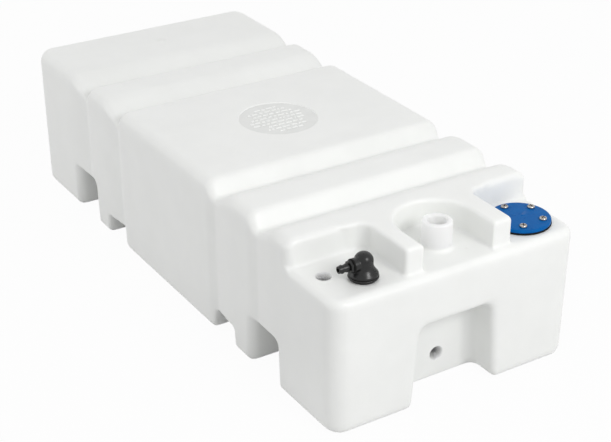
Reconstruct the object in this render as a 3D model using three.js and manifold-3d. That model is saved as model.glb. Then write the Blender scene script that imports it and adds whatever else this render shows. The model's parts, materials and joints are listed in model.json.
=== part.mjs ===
// Fresh water tank, rotationally moulded, with a screwed inspection cover and a swivelling vent elbow.
// Millimetres. X runs to the right, +Y to the back (the filler end is at -Y), +Z up.
// The origin is at the middle of the tank on the surface that it stands on.
import * as THREE from 'three';
import { mergeVertices } from 'three/addons/utils/BufferGeometryUtils.js';
import Module from 'manifold-3d';

const wasm = await Module();
wasm.setup();

// Overall size of the tank body
const LENGTH = 800;
const WIDTH = 346;
const HEIGHT = 208;
const WALL = 5;
const FRONT_Y = -LENGTH / 2;
const RIGHT_X = WIDTH / 2;
const LEFT_X = -WIDTH / 2;

// Seating gap left between touching pieces, and the overrun of cutting tools
const SEAT_GAP = 0.3;
const OVERRUN = 4;

// Outer edges of the body: plan corners, top edges, shelf edges, bottom edges, inset of the bottom
const FRONT_CORNER_RADIUS = 23;
const BACK_CORNER_RADIUS = 26;
const TOP_EDGE_RADIUS = 17;
const SHELF_EDGE_RADIUS = 11;
const BOTTOM_EDGE_RADIUS = 12;
const BOTTOM_DRAFT = 2.4;

// Sawtooth grooves round the body, the same in front of and behind the middle block.
// Each has a steep wall on the middle side and a long ramp on the outer side, and the body's top
// edge is tighter at its root. The end blocks and the pitch of the grooves keep their size, and the
// middle block takes up the rest.
const END_BLOCK_LENGTH = 183;
const GROOVE_PITCH = 99;
const OUTER_BLOCK_HALF = LENGTH / 2 - END_BLOCK_LENGTH;
const MIDDLE_BLOCK_HALF = OUTER_BLOCK_HALF - GROOVE_PITCH;
const GROOVE_WALL_RUN = 15;
const GROOVE_RAMP_RUN = 37;
const GROOVE_DEPTH_TOP = 23;
const GROOVE_DEPTH_SIDE = 4;
const GROOVE_LIP_RADIUS = 9;
const GROOVE_ROOT_RADIUS = 4;
const GROOVE_RAMP_RADIUS = 40;
const GROOVE_EDGE_RADIUS = 7;

// Tunnels across the underside, the same front and back, with rounded mouths in the sides
const TUNNEL_OVERLAP = 1;
const TUNNEL_WIDTH = 62;
const TUNNEL_INNER = OUTER_BLOCK_HALF - TUNNEL_OVERLAP;
const TUNNEL_OUTER = TUNNEL_INNER + TUNNEL_WIDTH;
const TUNNEL_HEIGHT = 62;
const TUNNEL_LEAN = 3;
const TUNNEL_CORNER_RADIUS = 4;
const TUNNEL_MOUTH_RADIUS = 16;
const FOOT_EDGE_RADIUS = 9;

// Slots across the underside between the middle block and the feet beside it, which start a little
// outside the block's upper edge
const SLOT_OVERHANG = 7;
const SLOT_WIDTH = 53;
const SLOT_INNER = MIDDLE_BLOCK_HALF + SLOT_OVERHANG;
const SLOT_OUTER = SLOT_INNER + SLOT_WIDTH;
const SLOT_HEIGHT = 31;
const SLOT_ROOT_RADIUS = 5;
const SLOT_MOUTH_RADIUS = 9;
const MIDDLE_FOOT_RADIUS = 12;

// Lowered shelf at the front and the raised platform round the filler spigot
const SHELF_DROP = 34;
const SHELF_DEPTH = 98;
const SHELF_BACK = FRONT_Y + SHELF_DEPTH;
const SHELF_BACK_LEAN = 3;
const SHELF_LIP_RADIUS = 9;
const SHELF_ROOT_RADIUS = 3;
const SHELF_CORNER_RADIUS = 14;
const LEFT_POCKET_WIDTH = 105;
const RIGHT_POCKET_WIDTH = 97;
const PLATFORM_X = (LEFT_POCKET_WIDTH - RIGHT_POCKET_WIDTH) / 2;
const PLATFORM_HALF = (WIDTH - LEFT_POCKET_WIDTH - RIGHT_POCKET_WIDTH) / 2;
const PLATFORM_SETBACK = 13;
const PLATFORM_EDGE_RADIUS = 5;
const PLATFORM_FLARE = 15;
const ARM_WIDTH = 22.5;
const RECESS_RADIUS = PLATFORM_HALF - ARM_WIDTH;
const RECESS_FROM_FRONT = 55;
const RECESS_Y = FRONT_Y + RECESS_FROM_FRONT;
const RECESS_LIP = 5;
const RECESS_FLOOR_DROP = 0.6;

// Filler spigot for a 38 mm hose, moulded with the body
const SPIGOT_RADIUS = 18.8;
const SPIGOT_TIP_RADIUS = 17.8;
const SPIGOT_BORE_RADIUS = 11;
const SPIGOT_FOOT_RADIUS = 4;
const SPIGOT_RIM_DROP = 1;

// Notch at the foot of the front face, with the tapped outlet
const NOTCH_X = -1.5;
const NOTCH_HALF = 58.5;
const NOTCH_HEIGHT = 108;
const NOTCH_DEPTH = 46;
const NOTCH_TOP_TAPER = 8;
const NOTCH_EDGE_RADIUS = 14;
const NOTCH_ROOT_RADIUS = 14;
const NOTCH_MOUTH_RADIUS = 9;
const NOTCH_FOOT_RADIUS = 12;
const OUTLET_X = 5;
const OUTLET_HEIGHT = 31;

// Tapped ports, three-eighths pipe thread, each in a thickened boss
const PORT_RADIUS = 8.33;
const PORT_MOUTH_RADIUS = 9.4;
const PORT_BOSS_RADIUS = 15;
const PORT_BOSS_DEPTH = 15;
const SPARE_PORT_FROM_LEFT = 28;
const SPARE_PORT_FROM_FRONT = 62.5;
const SPARE_PORT_X = LEFT_X + SPARE_PORT_FROM_LEFT;
const SPARE_PORT_Y = FRONT_Y + SPARE_PORT_FROM_FRONT;

// Round recess for a plate on the middle block
const DISC_X = -2;
const DISC_Y = -6;
const DISC_RADIUS = 52.5;
const DISC_DEPTH = 0.8;

// Inspection cover, gasket, screws and inserts: 54 mm bolt circle with five screws
const COVER_FROM_RIGHT = 49.6;
const COVER_FROM_FRONT = 50;
const COVER_X = RIGHT_X - COVER_FROM_RIGHT;
const COVER_Y = FRONT_Y + COVER_FROM_FRONT;
const COVER_RADIUS = 36.8;
const COVER_THICKNESS = 4;
const COVER_EDGE_RADIUS = 1.6;
const COVER_SPIGOT_RADIUS = 18.5;
const COVER_SPIGOT_DEPTH = 6;
const COVER_SPIGOT_WALL = 2.5;
const BOLT_CIRCLE_RADIUS = 27;
const SCREW_COUNT = 5;
const SCREW_START_DEG = 94;
const GASKET_THICKNESS = 2;
const GASKET_OVERHANG = 0.6;
const HAND_HOLE_RADIUS = 20;
const COVER_BOSS_RADIUS = 38.4;
const COVER_BOSS_DEPTH = 14;
const SCREW_RADIUS = 2.5;
const SCREW_CLEARANCE = 0.35;
const SCREW_HEAD_RADIUS = 4.6;
const SCREW_HEAD_HEIGHT = 2.6;
const SCREW_LENGTH = 14;
const SCREW_SOCKET_RADIUS = 1.9;
const SCREW_SOCKET_DEPTH = 1.6;
const INSERT_RADIUS = 3.6;
const INSERT_LENGTH = 9.5;
const INSERT_GROOVE_DEPTH = 0.6;
const INSERT_FLOOR = 1.2;

// Vent fitting: washer, base, O-ring, elbow, clip, tail washer and hose tail
const VENT_FROM_LEFT = 63;
const VENT_FROM_FRONT = 36;
const VENT_X = LEFT_X + VENT_FROM_LEFT;
const VENT_Y = FRONT_Y + VENT_FROM_FRONT;
const VENT_WASHER_RADIUS = 15.5;
const VENT_WASHER_THICKNESS = 1.5;
const VENT_FLANGE_RADIUS = 17.6;
const VENT_FLANGE_THICKNESS = 2.8;
const VENT_POST_RADIUS = 6.2;
const VENT_POST_LENGTH = 15;
const VENT_BORE_RADIUS = 3.2;
const VENT_STEM_CLEARANCE = 0.25;
const VENT_STEM_LENGTH = 14;
const VENT_POST_CLEARANCE = 0.3;
const VENT_RING_SECTION = 1.8;
const VENT_RING_HEIGHT = 5.5;
const VENT_CLIP_HEIGHT = 11.5;
const VENT_CLIP_THICKNESS = 1;
const VENT_CLIP_DEPTH = 0.9;
const VENT_CLIP_OPENING_DEG = 60;
const VENT_CLIP_GAP = 0.25;
const ELBOW_SKIRT_RADIUS = 17;
const ELBOW_DOME_RADIUS = 10.2;
const ELBOW_HEIGHT = 27.4;
const ELBOW_SKIRT_HEIGHT = 11;
const ELBOW_CHAMBER_RADIUS = 7.6;
const ELBOW_SHOULDER = 1.4;
const ELBOW_SIDE_BOSS_RADIUS = 6.6;
const ELBOW_SIDE_BOSS_LENGTH = 3.6;
const ELBOW_TAIL_HEIGHT = 14.6;
const ELBOW_TAIL_THREAD_RADIUS = 4.2;
const TAIL_WASHER_THICKNESS = 1;
const TAIL_COLLAR_FLATS = 13;
const TAIL_COLLAR_LENGTH = 4.6;
const TAIL_RADIUS = 3.9;
const TAIL_BARB_RADIUS = 4.7;
const TAIL_BARB_COUNT = 2;
const TAIL_BARB_PITCH = 6;
const TAIL_BARB_LENGTH = 3.2;
const TAIL_TIP_LENGTH = 1.6;
const TAIL_BORE_RADIUS = 2.5;
const TAIL_THREAD_LENGTH = 5;

// Levels that several pieces share
const SHELF_Z = HEIGHT - SHELF_DROP;
const NOTCH_BACK_Y = FRONT_Y + NOTCH_DEPTH;
const COVER_SEAT_Z = SHELF_Z + SEAT_GAP + GASKET_THICKNESS + SEAT_GAP;

// Facets of round parts, and steps in a quarter turn of an outer and a hidden inner edge
const ROUND = 24;
const SMALL_ROUND = 16;
const CORNER_STEPS = 3;
const INNER_STEPS = 2;
const RING_SIDES = 8;

// Materials
function material(color, roughness, metalness = 0) {
  return new THREE.MeshStandardMaterial({ color, roughness, metalness });
}
const NATURAL_POLYETHYLENE = material('#e9eae8', 0.5);
const BLUE_POLYPROPYLENE = material('#1f63b0', 0.4);
const BLACK_RUBBER = material('#151515', 0.8);
const BLACK_NYLON = material('#1a1a1a', 0.42);
const STAINLESS_STEEL = material('#b9b8b4', 0.32, 1);
const BRASS = material('#b5954d', 0.4, 1);
const SPRING_STEEL = material('#8f8f92', 0.35, 1);

// Solids and meshes
function solid(geometry) {
  const bare = geometry.clone();
  for (const name of Object.keys(bare.attributes)) {
    if (name !== 'position') bare.deleteAttribute(name);
  }
  const merged = mergeVertices(bare, SEAT_GAP / 1000);
  return new wasm.Manifold(new wasm.Mesh({
    numProp: 3,
    vertProperties: new Float32Array(merged.attributes.position.array),
    triVerts: new Uint32Array(merged.index.array),
  }));
}

function geometryOf(shape) {
  const mesh = shape.getMesh();
  const geometry = new THREE.BufferGeometry();
  geometry.setAttribute('position', new THREE.BufferAttribute(mesh.vertProperties, 3));
  geometry.setIndex(new THREE.BufferAttribute(mesh.triVerts, 1));
  geometry.computeVertexNormals();
  return geometry;
}

const tank = new THREE.Group();
tank.name = 'fresh_water_tank';

function addPiece(name, shape, finish, group = tank) {
  const mesh = new THREE.Mesh(geometryOf(shape), finish);
  mesh.name = name;
  group.add(mesh);
  return mesh;
}

// A solid of revolution about Z from its outline as [radius, height] points
function turned(outline, facets = ROUND) {
  const points = outline.map(([radius, height]) => new THREE.Vector2(radius, height));
  points.push(points[0].clone());
  return solid(new THREE.LatheGeometry(points, facets).rotateX(Math.PI / 2));
}

function rod(radius, bottom, top, facets = ROUND) {
  return turned([[0, bottom], [radius, bottom], [radius, top], [0, top]], facets);
}

// A closed skin over rings of equal count, each a list of [x, y, z] points, with flat ends
function skinOver(rings) {
  const count = rings[0].length;
  const index = [];
  const lastRing = (rings.length - 1) * count;
  for (let ring = 0; ring + 1 < rings.length; ring += 1) {
    for (let i = 0; i < count; i += 1) {
      const a = ring * count + i;
      const b = ring * count + (i + 1) % count;
      index.push(a, b, b + count, a, b + count, a + count);
    }
  }
  for (let i = 1; i + 1 < count; i += 1) {
    index.push(0, i + 1, i);
    index.push(lastRing, lastRing + i, lastRing + i + 1);
  }
  const shape = solid(indexedGeometry(rings, index));
  return shape.volume() > 0 ? shape : solid(indexedGeometry(rings, index.reverse()));
}

function indexedGeometry(rings, index) {
  const geometry = new THREE.BufferGeometry();
  geometry.setAttribute('position', new THREE.Float32BufferAttribute(rings.flat(2), 3));
  geometry.setIndex(index);
  return geometry;
}

// Steps in a quarter turn: coarse on the skin of the hollow, which lies a wall inside the body
function quarterSteps(wall) {
  return wall > 0 ? INNER_STEPS : CORNER_STEPS;
}

// A path of [u, v] points whose inner corners are rounded, each by its own radius, with the
// given steps in a quarter turn
function roundedPath(corners, steps = CORNER_STEPS) {
  const path = [];
  const push = (u, v) => {
    const last = path[path.length - 1];
    if (!last || Math.hypot(u - last[0], v - last[1]) > SEAT_GAP / 100) path.push([u, v]);
  };
  corners.forEach(([u, v, radius = 0], i) => {
    if (radius === 0) {
      push(u, v);
      return;
    }
    const at = new THREE.Vector2(u, v);
    const before = new THREE.Vector2(...corners[i - 1]).sub(at);
    const after = new THREE.Vector2(...corners[i + 1]).sub(at);
    const halfAngle = before.angleTo(after) / 2;
    const setback = radius / Math.tan(halfAngle);
    const start = before.clone().setLength(setback).add(at);
    const end = after.clone().setLength(setback).add(at);
    const inward = before.clone().normalize().add(after.clone().normalize());
    const centre = inward.setLength(radius / Math.sin(halfAngle)).add(at);
    const from = start.clone().sub(centre);
    const sweep = Math.PI - halfAngle * 2;
    const turn = Math.sign(from.cross(end.clone().sub(centre))) * sweep;
    const count = Math.max(1, Math.round((steps * sweep) / (Math.PI / 2)));
    for (let step = 0; step <= count; step += 1) {
      const arm = from.clone().rotateAround(new THREE.Vector2(), (turn * step) / count);
      push(centre.x + arm.x, centre.y + arm.y);
    }
  });
  return path;
}

// Height of a single-valued path at u, straight between its points
function heightOn(path, u) {
  for (let i = 0; i + 1 < path.length; i += 1) {
    const [u0, v0] = path[i];
    const [u1, v1] = path[i + 1];
    if (u >= u0 && u <= u1 && u1 > u0) return v0 + ((v1 - v0) * (u - u0)) / (u1 - u0);
  }
  return u < path[0][0] ? path[0][1] : path[path.length - 1][1];
}

// Share of the groove depth along Y for one half of the body, from the middle outwards.
// A wall thickness above zero gives the same line offset into the plastic.
function grooveProfile(wall) {
  const wallSlope = Math.atan2(GROOVE_DEPTH_TOP, GROOVE_WALL_RUN);
  const rampSlope = Math.atan2(GROOVE_DEPTH_TOP, GROOVE_RAMP_RUN);
  const wallShift = wall * Math.tan(wallSlope / 2);
  const rampShift = wall * Math.tan(rampSlope / 2);
  const rootDrop = (wallShift + rampShift) / (1 / Math.tan(wallSlope) + 1 / Math.tan(rampSlope));
  const rootShift = rootDrop / Math.tan(wallSlope) - wallShift;
  const corners = [[0, 0]];
  for (const edge of [MIDDLE_BLOCK_HALF, OUTER_BLOCK_HALF]) {
    const root = edge + GROOVE_WALL_RUN;
    corners.push([edge - wallShift, 0, Math.max(GROOVE_LIP_RADIUS - wall, WALL)]);
    corners.push([root + rootShift, GROOVE_DEPTH_TOP + rootDrop, GROOVE_ROOT_RADIUS + wall]);
    corners.push([root + GROOVE_RAMP_RUN + rampShift, 0, GROOVE_RAMP_RADIUS]);
  }
  corners.push([LENGTH / 2, 0]);
  return roundedPath(corners, quarterSteps(wall));
}

// Drop of the top along Y at the front: nothing, then the step down to the shelf
function shelfProfile(wall) {
  const back = SHELF_BACK + wall;
  return roundedPath([
    [FRONT_Y, SHELF_DROP],
    [back - SHELF_BACK_LEAN, SHELF_DROP, SHELF_ROOT_RADIUS + wall],
    [back, 0, Math.max(SHELF_LIP_RADIUS - wall, SHELF_EDGE_RADIUS - SHELF_LIP_RADIUS)],
    [SHELF_BACK + OUTER_BLOCK_HALF, 0],
  ], quarterSteps(wall));
}

// How far a rounded edge of the given radius lies in, at a distance from the end face
function edgeInset(radius, distance) {
  if (distance >= radius) return 0;
  return radius - Math.sqrt(radius ** 2 - (radius - distance) ** 2);
}

// One ring round the body at y: rounded corners, and sides that lean in towards the bottom
function bodyRing(y, halfWidth, top, bottom, topRadius, bottomRadius, steps) {
  const corners = [
    [1, bottom + bottomRadius, bottomRadius, -90],
    [1, top - topRadius, topRadius, 0],
    [-1, top - topRadius, topRadius, 90],
    [-1, bottom + bottomRadius, bottomRadius, 180],
  ];
  const ring = [];
  for (const [side, centreZ, radius, startDeg] of corners) {
    for (let step = 0; step <= steps; step += 1) {
      const angle = THREE.MathUtils.degToRad(startDeg + (90 * step) / steps);
      const z = centreZ + radius * Math.sin(angle);
      const lean = BOTTOM_DRAFT * (1 - z / HEIGHT);
      ring.push([side * (halfWidth - radius - lean) + radius * Math.cos(angle), y, z]);
    }
  }
  return ring;
}

// The body's outer skin, or with a wall thickness the skin of the hollow inside it
function bodyShell(wall) {
  const steps = quarterSteps(wall);
  const grooves = grooveProfile(wall);
  const shelf = shelfProfile(wall);
  const endY = LENGTH / 2 - wall;
  const ends = [
    { sign: -1, plan: FRONT_CORNER_RADIUS, top: SHELF_EDGE_RADIUS },
    { sign: 1, plan: BACK_CORNER_RADIUS, top: TOP_EDGE_RADIUS },
  ];
  const stations = new Set([0]);
  for (const [u] of grooves) {
    if (u < endY - BACK_CORNER_RADIUS) {
      stations.add(u);
      stations.add(-u);
    }
  }
  for (const [u] of shelf) {
    if (u > -endY + FRONT_CORNER_RADIUS && u < 0) stations.add(u);
  }
  for (const end of ends) {
    for (const radius of [end.plan, end.top, BOTTOM_EDGE_RADIUS]) {
      const round = Math.max(radius - wall, WALL);
      for (let step = 0; step <= steps; step += 1) {
        const angle = (Math.PI / 2) * (step / steps);
        stations.add(end.sign * (endY - round * (1 - Math.sin(angle))));
      }
    }
  }
  const ordered = [...stations].sort((a, b) => a - b);
  const rings = [];
  for (const y of ordered) {
    const previous = rings.length ? rings[rings.length - 1][0][1] : -LENGTH;
    if (y - previous < SEAT_GAP) continue;
    const end = ends[y < 0 ? 0 : 1];
    const toEnd = endY - Math.abs(y);
    const share = heightOn(grooves, Math.abs(y)) / GROOVE_DEPTH_TOP;
    const shelfDrop = y < 0 ? heightOn(shelf, y) : 0;
    const shelfShare = shelfDrop / SHELF_DROP;
    const planRadius = Math.max(end.plan - wall, WALL);
    const topRadius = Math.max(end.top - wall, WALL);
    const bottomRadius = Math.max(BOTTOM_EDGE_RADIUS - wall, WALL);
    const topInset = edgeInset(topRadius, toEnd);
    const bottomInset = edgeInset(bottomRadius, toEnd);
    const blockEdge = THREE.MathUtils.lerp(TOP_EDGE_RADIUS, GROOVE_EDGE_RADIUS, Math.min(share, 1));
    const edge = THREE.MathUtils.lerp(blockEdge, SHELF_EDGE_RADIUS, shelfShare) - wall;
    rings.push(bodyRing(
      y,
      WIDTH / 2 - wall - GROOVE_DEPTH_SIDE * share - edgeInset(planRadius, toEnd),
      HEIGHT - wall - GROOVE_DEPTH_TOP * share - shelfDrop - topInset,
      wall + bottomInset,
      Math.max(edge - topInset / 2, WALL / 2),
      Math.max(bottomRadius - bottomInset / 2, WALL / 2),
      steps,
    ));
  }
  return skinOver(rings);
}

// Places across the width for a cutter whose mouths in the sides are rounded, each with how far
// the outline has grown there. The wall moves the same surface into the plastic.
function mouthStations(radius, wall) {
  const stations = [];
  const bend = radius - wall;
  const steps = quarterSteps(wall);
  for (let step = 0; step <= steps; step += 1) {
    const angle = (Math.PI / 2) * (step / steps);
    const x = WIDTH / 2 - radius + bend * Math.sin(angle);
    stations.push([x, wall + bend * (1 - Math.cos(angle))]);
  }
  stations.push([WIDTH / 2 + OVERRUN, radius]);
  const mirrored = stations.map(([x, growth]) => [-x, growth]).reverse();
  return [...mirrored, ...stations];
}

// The space of one tunnel under the body, on the side of Y given by the sign
function tunnelCutter(sign, wall) {
  const foot = FOOT_EDGE_RADIUS - wall;
  return skinOver(mouthStations(TUNNEL_MOUTH_RADIUS, wall).map(([x, growth]) => {
    const inner = TUNNEL_INNER - growth;
    const outer = TUNNEL_OUTER + growth;
    const top = TUNNEL_HEIGHT + growth;
    const corner = TUNNEL_CORNER_RADIUS + growth;
    const outline = roundedPath([
      [inner - foot, -OVERRUN],
      [inner - foot, wall],
      [inner, wall, foot],
      [inner + TUNNEL_LEAN, top, corner],
      [outer - TUNNEL_LEAN, top, corner],
      [outer, wall, foot],
      [outer + foot, wall],
      [outer + foot, -OVERRUN],
    ], quarterSteps(wall));
    return outline.map(([y, z]) => [x, sign * y, z]);
  }));
}

// The slot between the middle block and the next foot, rounding the block's lower edge
function slotCutter(sign, wall) {
  const foot = FOOT_EDGE_RADIUS - wall;
  const block = MIDDLE_FOOT_RADIUS - wall;
  const inner = SLOT_INNER - wall;
  const top = SLOT_HEIGHT + wall;
  return skinOver(mouthStations(SLOT_MOUTH_RADIUS, wall).map(([x, growth]) => {
    const outer = SLOT_OUTER + growth;
    const outline = roundedPath([
      [inner - block, -OVERRUN],
      [inner - block, wall],
      [inner, wall, block],
      [inner + TUNNEL_LEAN, top, SLOT_ROOT_RADIUS + wall],
      [outer - TUNNEL_LEAN, top, SLOT_ROOT_RADIUS + wall],
      [outer, wall, foot],
      [outer + foot, wall],
      [outer + foot, -OVERRUN],
    ], quarterSteps(wall));
    return outline.map(([y, z]) => [x, sign * y, z]);
  }));
}

// The U-shaped space over the recess floor, flared at its lip, open to the front
function recessCutter(wall) {
  const floor = SHELF_Z - RECESS_FLOOR_DROP - wall;
  const levels = [[floor, 0], [HEIGHT - RECESS_LIP, 0]];
  const steps = quarterSteps(wall);
  for (let step = 1; step <= steps; step += 1) {
    const angle = (Math.PI / 2) * (step / steps);
    levels.push([HEIGHT - RECESS_LIP * (1 - Math.sin(angle)), RECESS_LIP * (1 - Math.cos(angle))]);
  }
  levels.push([HEIGHT + OVERRUN, RECESS_LIP]);
  return skinOver(levels.map(([z, flare]) => {
    const radius = RECESS_RADIUS + wall + flare;
    const ring = [[PLATFORM_X + radius, FRONT_Y - OVERRUN, z]];
    for (let step = 0; step <= ROUND / 2; step += 1) {
      const angle = (Math.PI * step) / (ROUND / 2);
      ring.push([PLATFORM_X + radius * Math.cos(angle), RECESS_Y + radius * Math.sin(angle), z]);
    }
    ring.push([PLATFORM_X - radius, FRONT_Y - OVERRUN, z]);
    return ring;
  }));
}

// The raised platform whose two arms stand beside the recess, with rounded top edges
function platform() {
  const front = FRONT_Y + PLATFORM_SETBACK;
  const back = SHELF_BACK + SHELF_LIP_RADIUS;
  const bottom = SHELF_Z - WALL;
  const outlineAt = (inset) => {
    const half = PLATFORM_HALF - inset;
    const side = roundedPath([
      [0, front + inset],
      [half, front + inset, PLATFORM_EDGE_RADIUS],
      [half, SHELF_BACK - SHELF_BACK_LEAN + inset, PLATFORM_FLARE + inset],
      [half + PLATFORM_FLARE * 2, SHELF_BACK - SHELF_BACK_LEAN + inset],
    ]);
    side.push([half + PLATFORM_FLARE * 2, back], [0, back]);
    const mirrored = side.slice(1, -1).reverse().map(([x, y]) => [-x, y]);
    return [...side, ...mirrored].map(([x, y]) => [PLATFORM_X + x, y]);
  };
  const levels = [[bottom, 0], [HEIGHT - PLATFORM_EDGE_RADIUS, 0]];
  for (let step = 1; step <= CORNER_STEPS; step += 1) {
    const angle = (Math.PI / 2) * (step / CORNER_STEPS);
    const inset = PLATFORM_EDGE_RADIUS * (1 - Math.cos(angle));
    levels.push([HEIGHT - PLATFORM_EDGE_RADIUS * (1 - Math.sin(angle)), inset]);
  }
  return prismUp(levels.map(([z, inset]) => outlineAt(inset).map(([x, y]) => [x, y, z])));
}

// A skin over stacked level rings whose outline may be hollow, with its end caps triangulated
function prismUp(levels) {
  const flat = (ring) => ring.map(([x, y]) => new THREE.Vector2(x, y));
  const clockwise = THREE.ShapeUtils.isClockWise(flat(levels[0]));
  const rings = clockwise ? levels.map((ring) => [...ring].reverse()) : levels;
  const count = rings[0].length;
  const index = [];
  for (let ring = 0; ring + 1 < rings.length; ring += 1) {
    for (let i = 0; i < count; i += 1) {
      const a = ring * count + i;
      const b = ring * count + (i + 1) % count;
      index.push(a, b, b + count, a, b + count, a + count);
    }
  }
  const lastRing = (rings.length - 1) * count;
  for (const [a, b, c] of THREE.ShapeUtils.triangulateShape(flat(rings[0]), [])) {
    index.push(a, c, b);
    index.push(lastRing + a, lastRing + b, lastRing + c);
  }
  return solid(indexedGeometry(rings, index));
}

// The notch under the front face, rounded where its walls meet its back and wider at its mouth.
// The wall moves the same surface into the plastic.
function notchCutter(wall) {
  const back = NOTCH_BACK_Y + wall;
  const root = NOTCH_ROOT_RADIUS + wall;
  const foot = NOTCH_FOOT_RADIUS - wall;
  const steps = quarterSteps(wall);
  const stations = [];
  for (let step = 0; step <= steps; step += 1) {
    const angle = (Math.PI / 2) * (step / steps);
    stations.push([back - root * (1 - Math.cos(angle)), root * (Math.sin(angle) - 1)]);
  }
  if (wall === 0) {
    for (let step = 0; step <= steps; step += 1) {
      const angle = (Math.PI / 2) * (step / steps);
      const y = FRONT_Y + NOTCH_MOUTH_RADIUS * (1 - Math.sin(angle));
      stations.push([y, NOTCH_MOUTH_RADIUS * (1 - Math.cos(angle))]);
    }
    stations.push([FRONT_Y - OVERRUN, NOTCH_MOUTH_RADIUS]);
  } else {
    stations.push([FRONT_Y - OVERRUN, 0]);
  }
  return skinOver(stations.map(([y, flare]) => {
    const half = NOTCH_HALF + wall + flare;
    const top = NOTCH_HEIGHT + wall + flare;
    const outline = roundedPath([
      [half + foot, -OVERRUN],
      [half + foot, wall],
      [half, wall, foot],
      [half - NOTCH_TOP_TAPER, top, NOTCH_EDGE_RADIUS + wall],
      [-half + NOTCH_TOP_TAPER, top, NOTCH_EDGE_RADIUS + wall],
      [-half, wall, foot],
      [-half - foot, wall],
      [-half - foot, -OVERRUN],
    ], quarterSteps(wall));
    return outline.map(([x, z]) => [NOTCH_X + x, y, z]);
  }));
}

// What is cut off the strip's two upright corners beside the shelf, to round them in plan
function stripCornerCutter(side) {
  const radius = SHELF_CORNER_RADIUS;
  const edgeX = RIGHT_X;
  const frontY = SHELF_BACK - SHELF_BACK_LEAN;
  const outline = [[edgeX + OVERRUN, frontY - OVERRUN]];
  outline.push([edgeX - radius, frontY - OVERRUN]);
  for (let step = 0; step <= CORNER_STEPS; step += 1) {
    const angle = (Math.PI / 2) * (step / CORNER_STEPS);
    outline.push([
      edgeX - radius + radius * Math.sin(angle),
      frontY + radius - radius * Math.cos(angle),
    ]);
  }
  outline.push([edgeX + OVERRUN, frontY + radius]);
  const levels = [SHELF_Z, HEIGHT + OVERRUN];
  return prismUp(levels.map((z) => outline.map(([x, y]) => [side * x, y, z])));
}

function screwPlaces() {
  const places = [];
  for (let i = 0; i < SCREW_COUNT; i += 1) {
    const angle = THREE.MathUtils.degToRad(SCREW_START_DEG - (360 * i) / SCREW_COUNT);
    places.push([
      COVER_X + BOLT_CIRCLE_RADIUS * Math.cos(angle),
      COVER_Y + BOLT_CIRCLE_RADIUS * Math.sin(angle),
    ]);
  }
  return places;
}

const INSERT_TOP = SHELF_Z - SEAT_GAP;
const INSERT_BOTTOM = INSERT_TOP - INSERT_LENGTH;

// Outer outline of an insert, with one anchoring groove, grown by a gap for its seat in the boss
function insertOutline(gap) {
  const middle = (INSERT_TOP + INSERT_BOTTOM) / 2;
  const half = INSERT_LENGTH / 6;
  const radius = INSERT_RADIUS + gap;
  const groove = radius - INSERT_GROOVE_DEPTH;
  const top = gap > 0 ? SHELF_Z + OVERRUN : INSERT_TOP;
  return [
    [0, INSERT_BOTTOM - gap],
    [radius, INSERT_BOTTOM - gap],
    [radius, middle - half + gap],
    [groove, middle - half + INSERT_GROOVE_DEPTH],
    [groove, middle + half - INSERT_GROOVE_DEPTH],
    [radius, middle + half - gap],
    [radius, top],
    [0, top],
  ];
}

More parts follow.
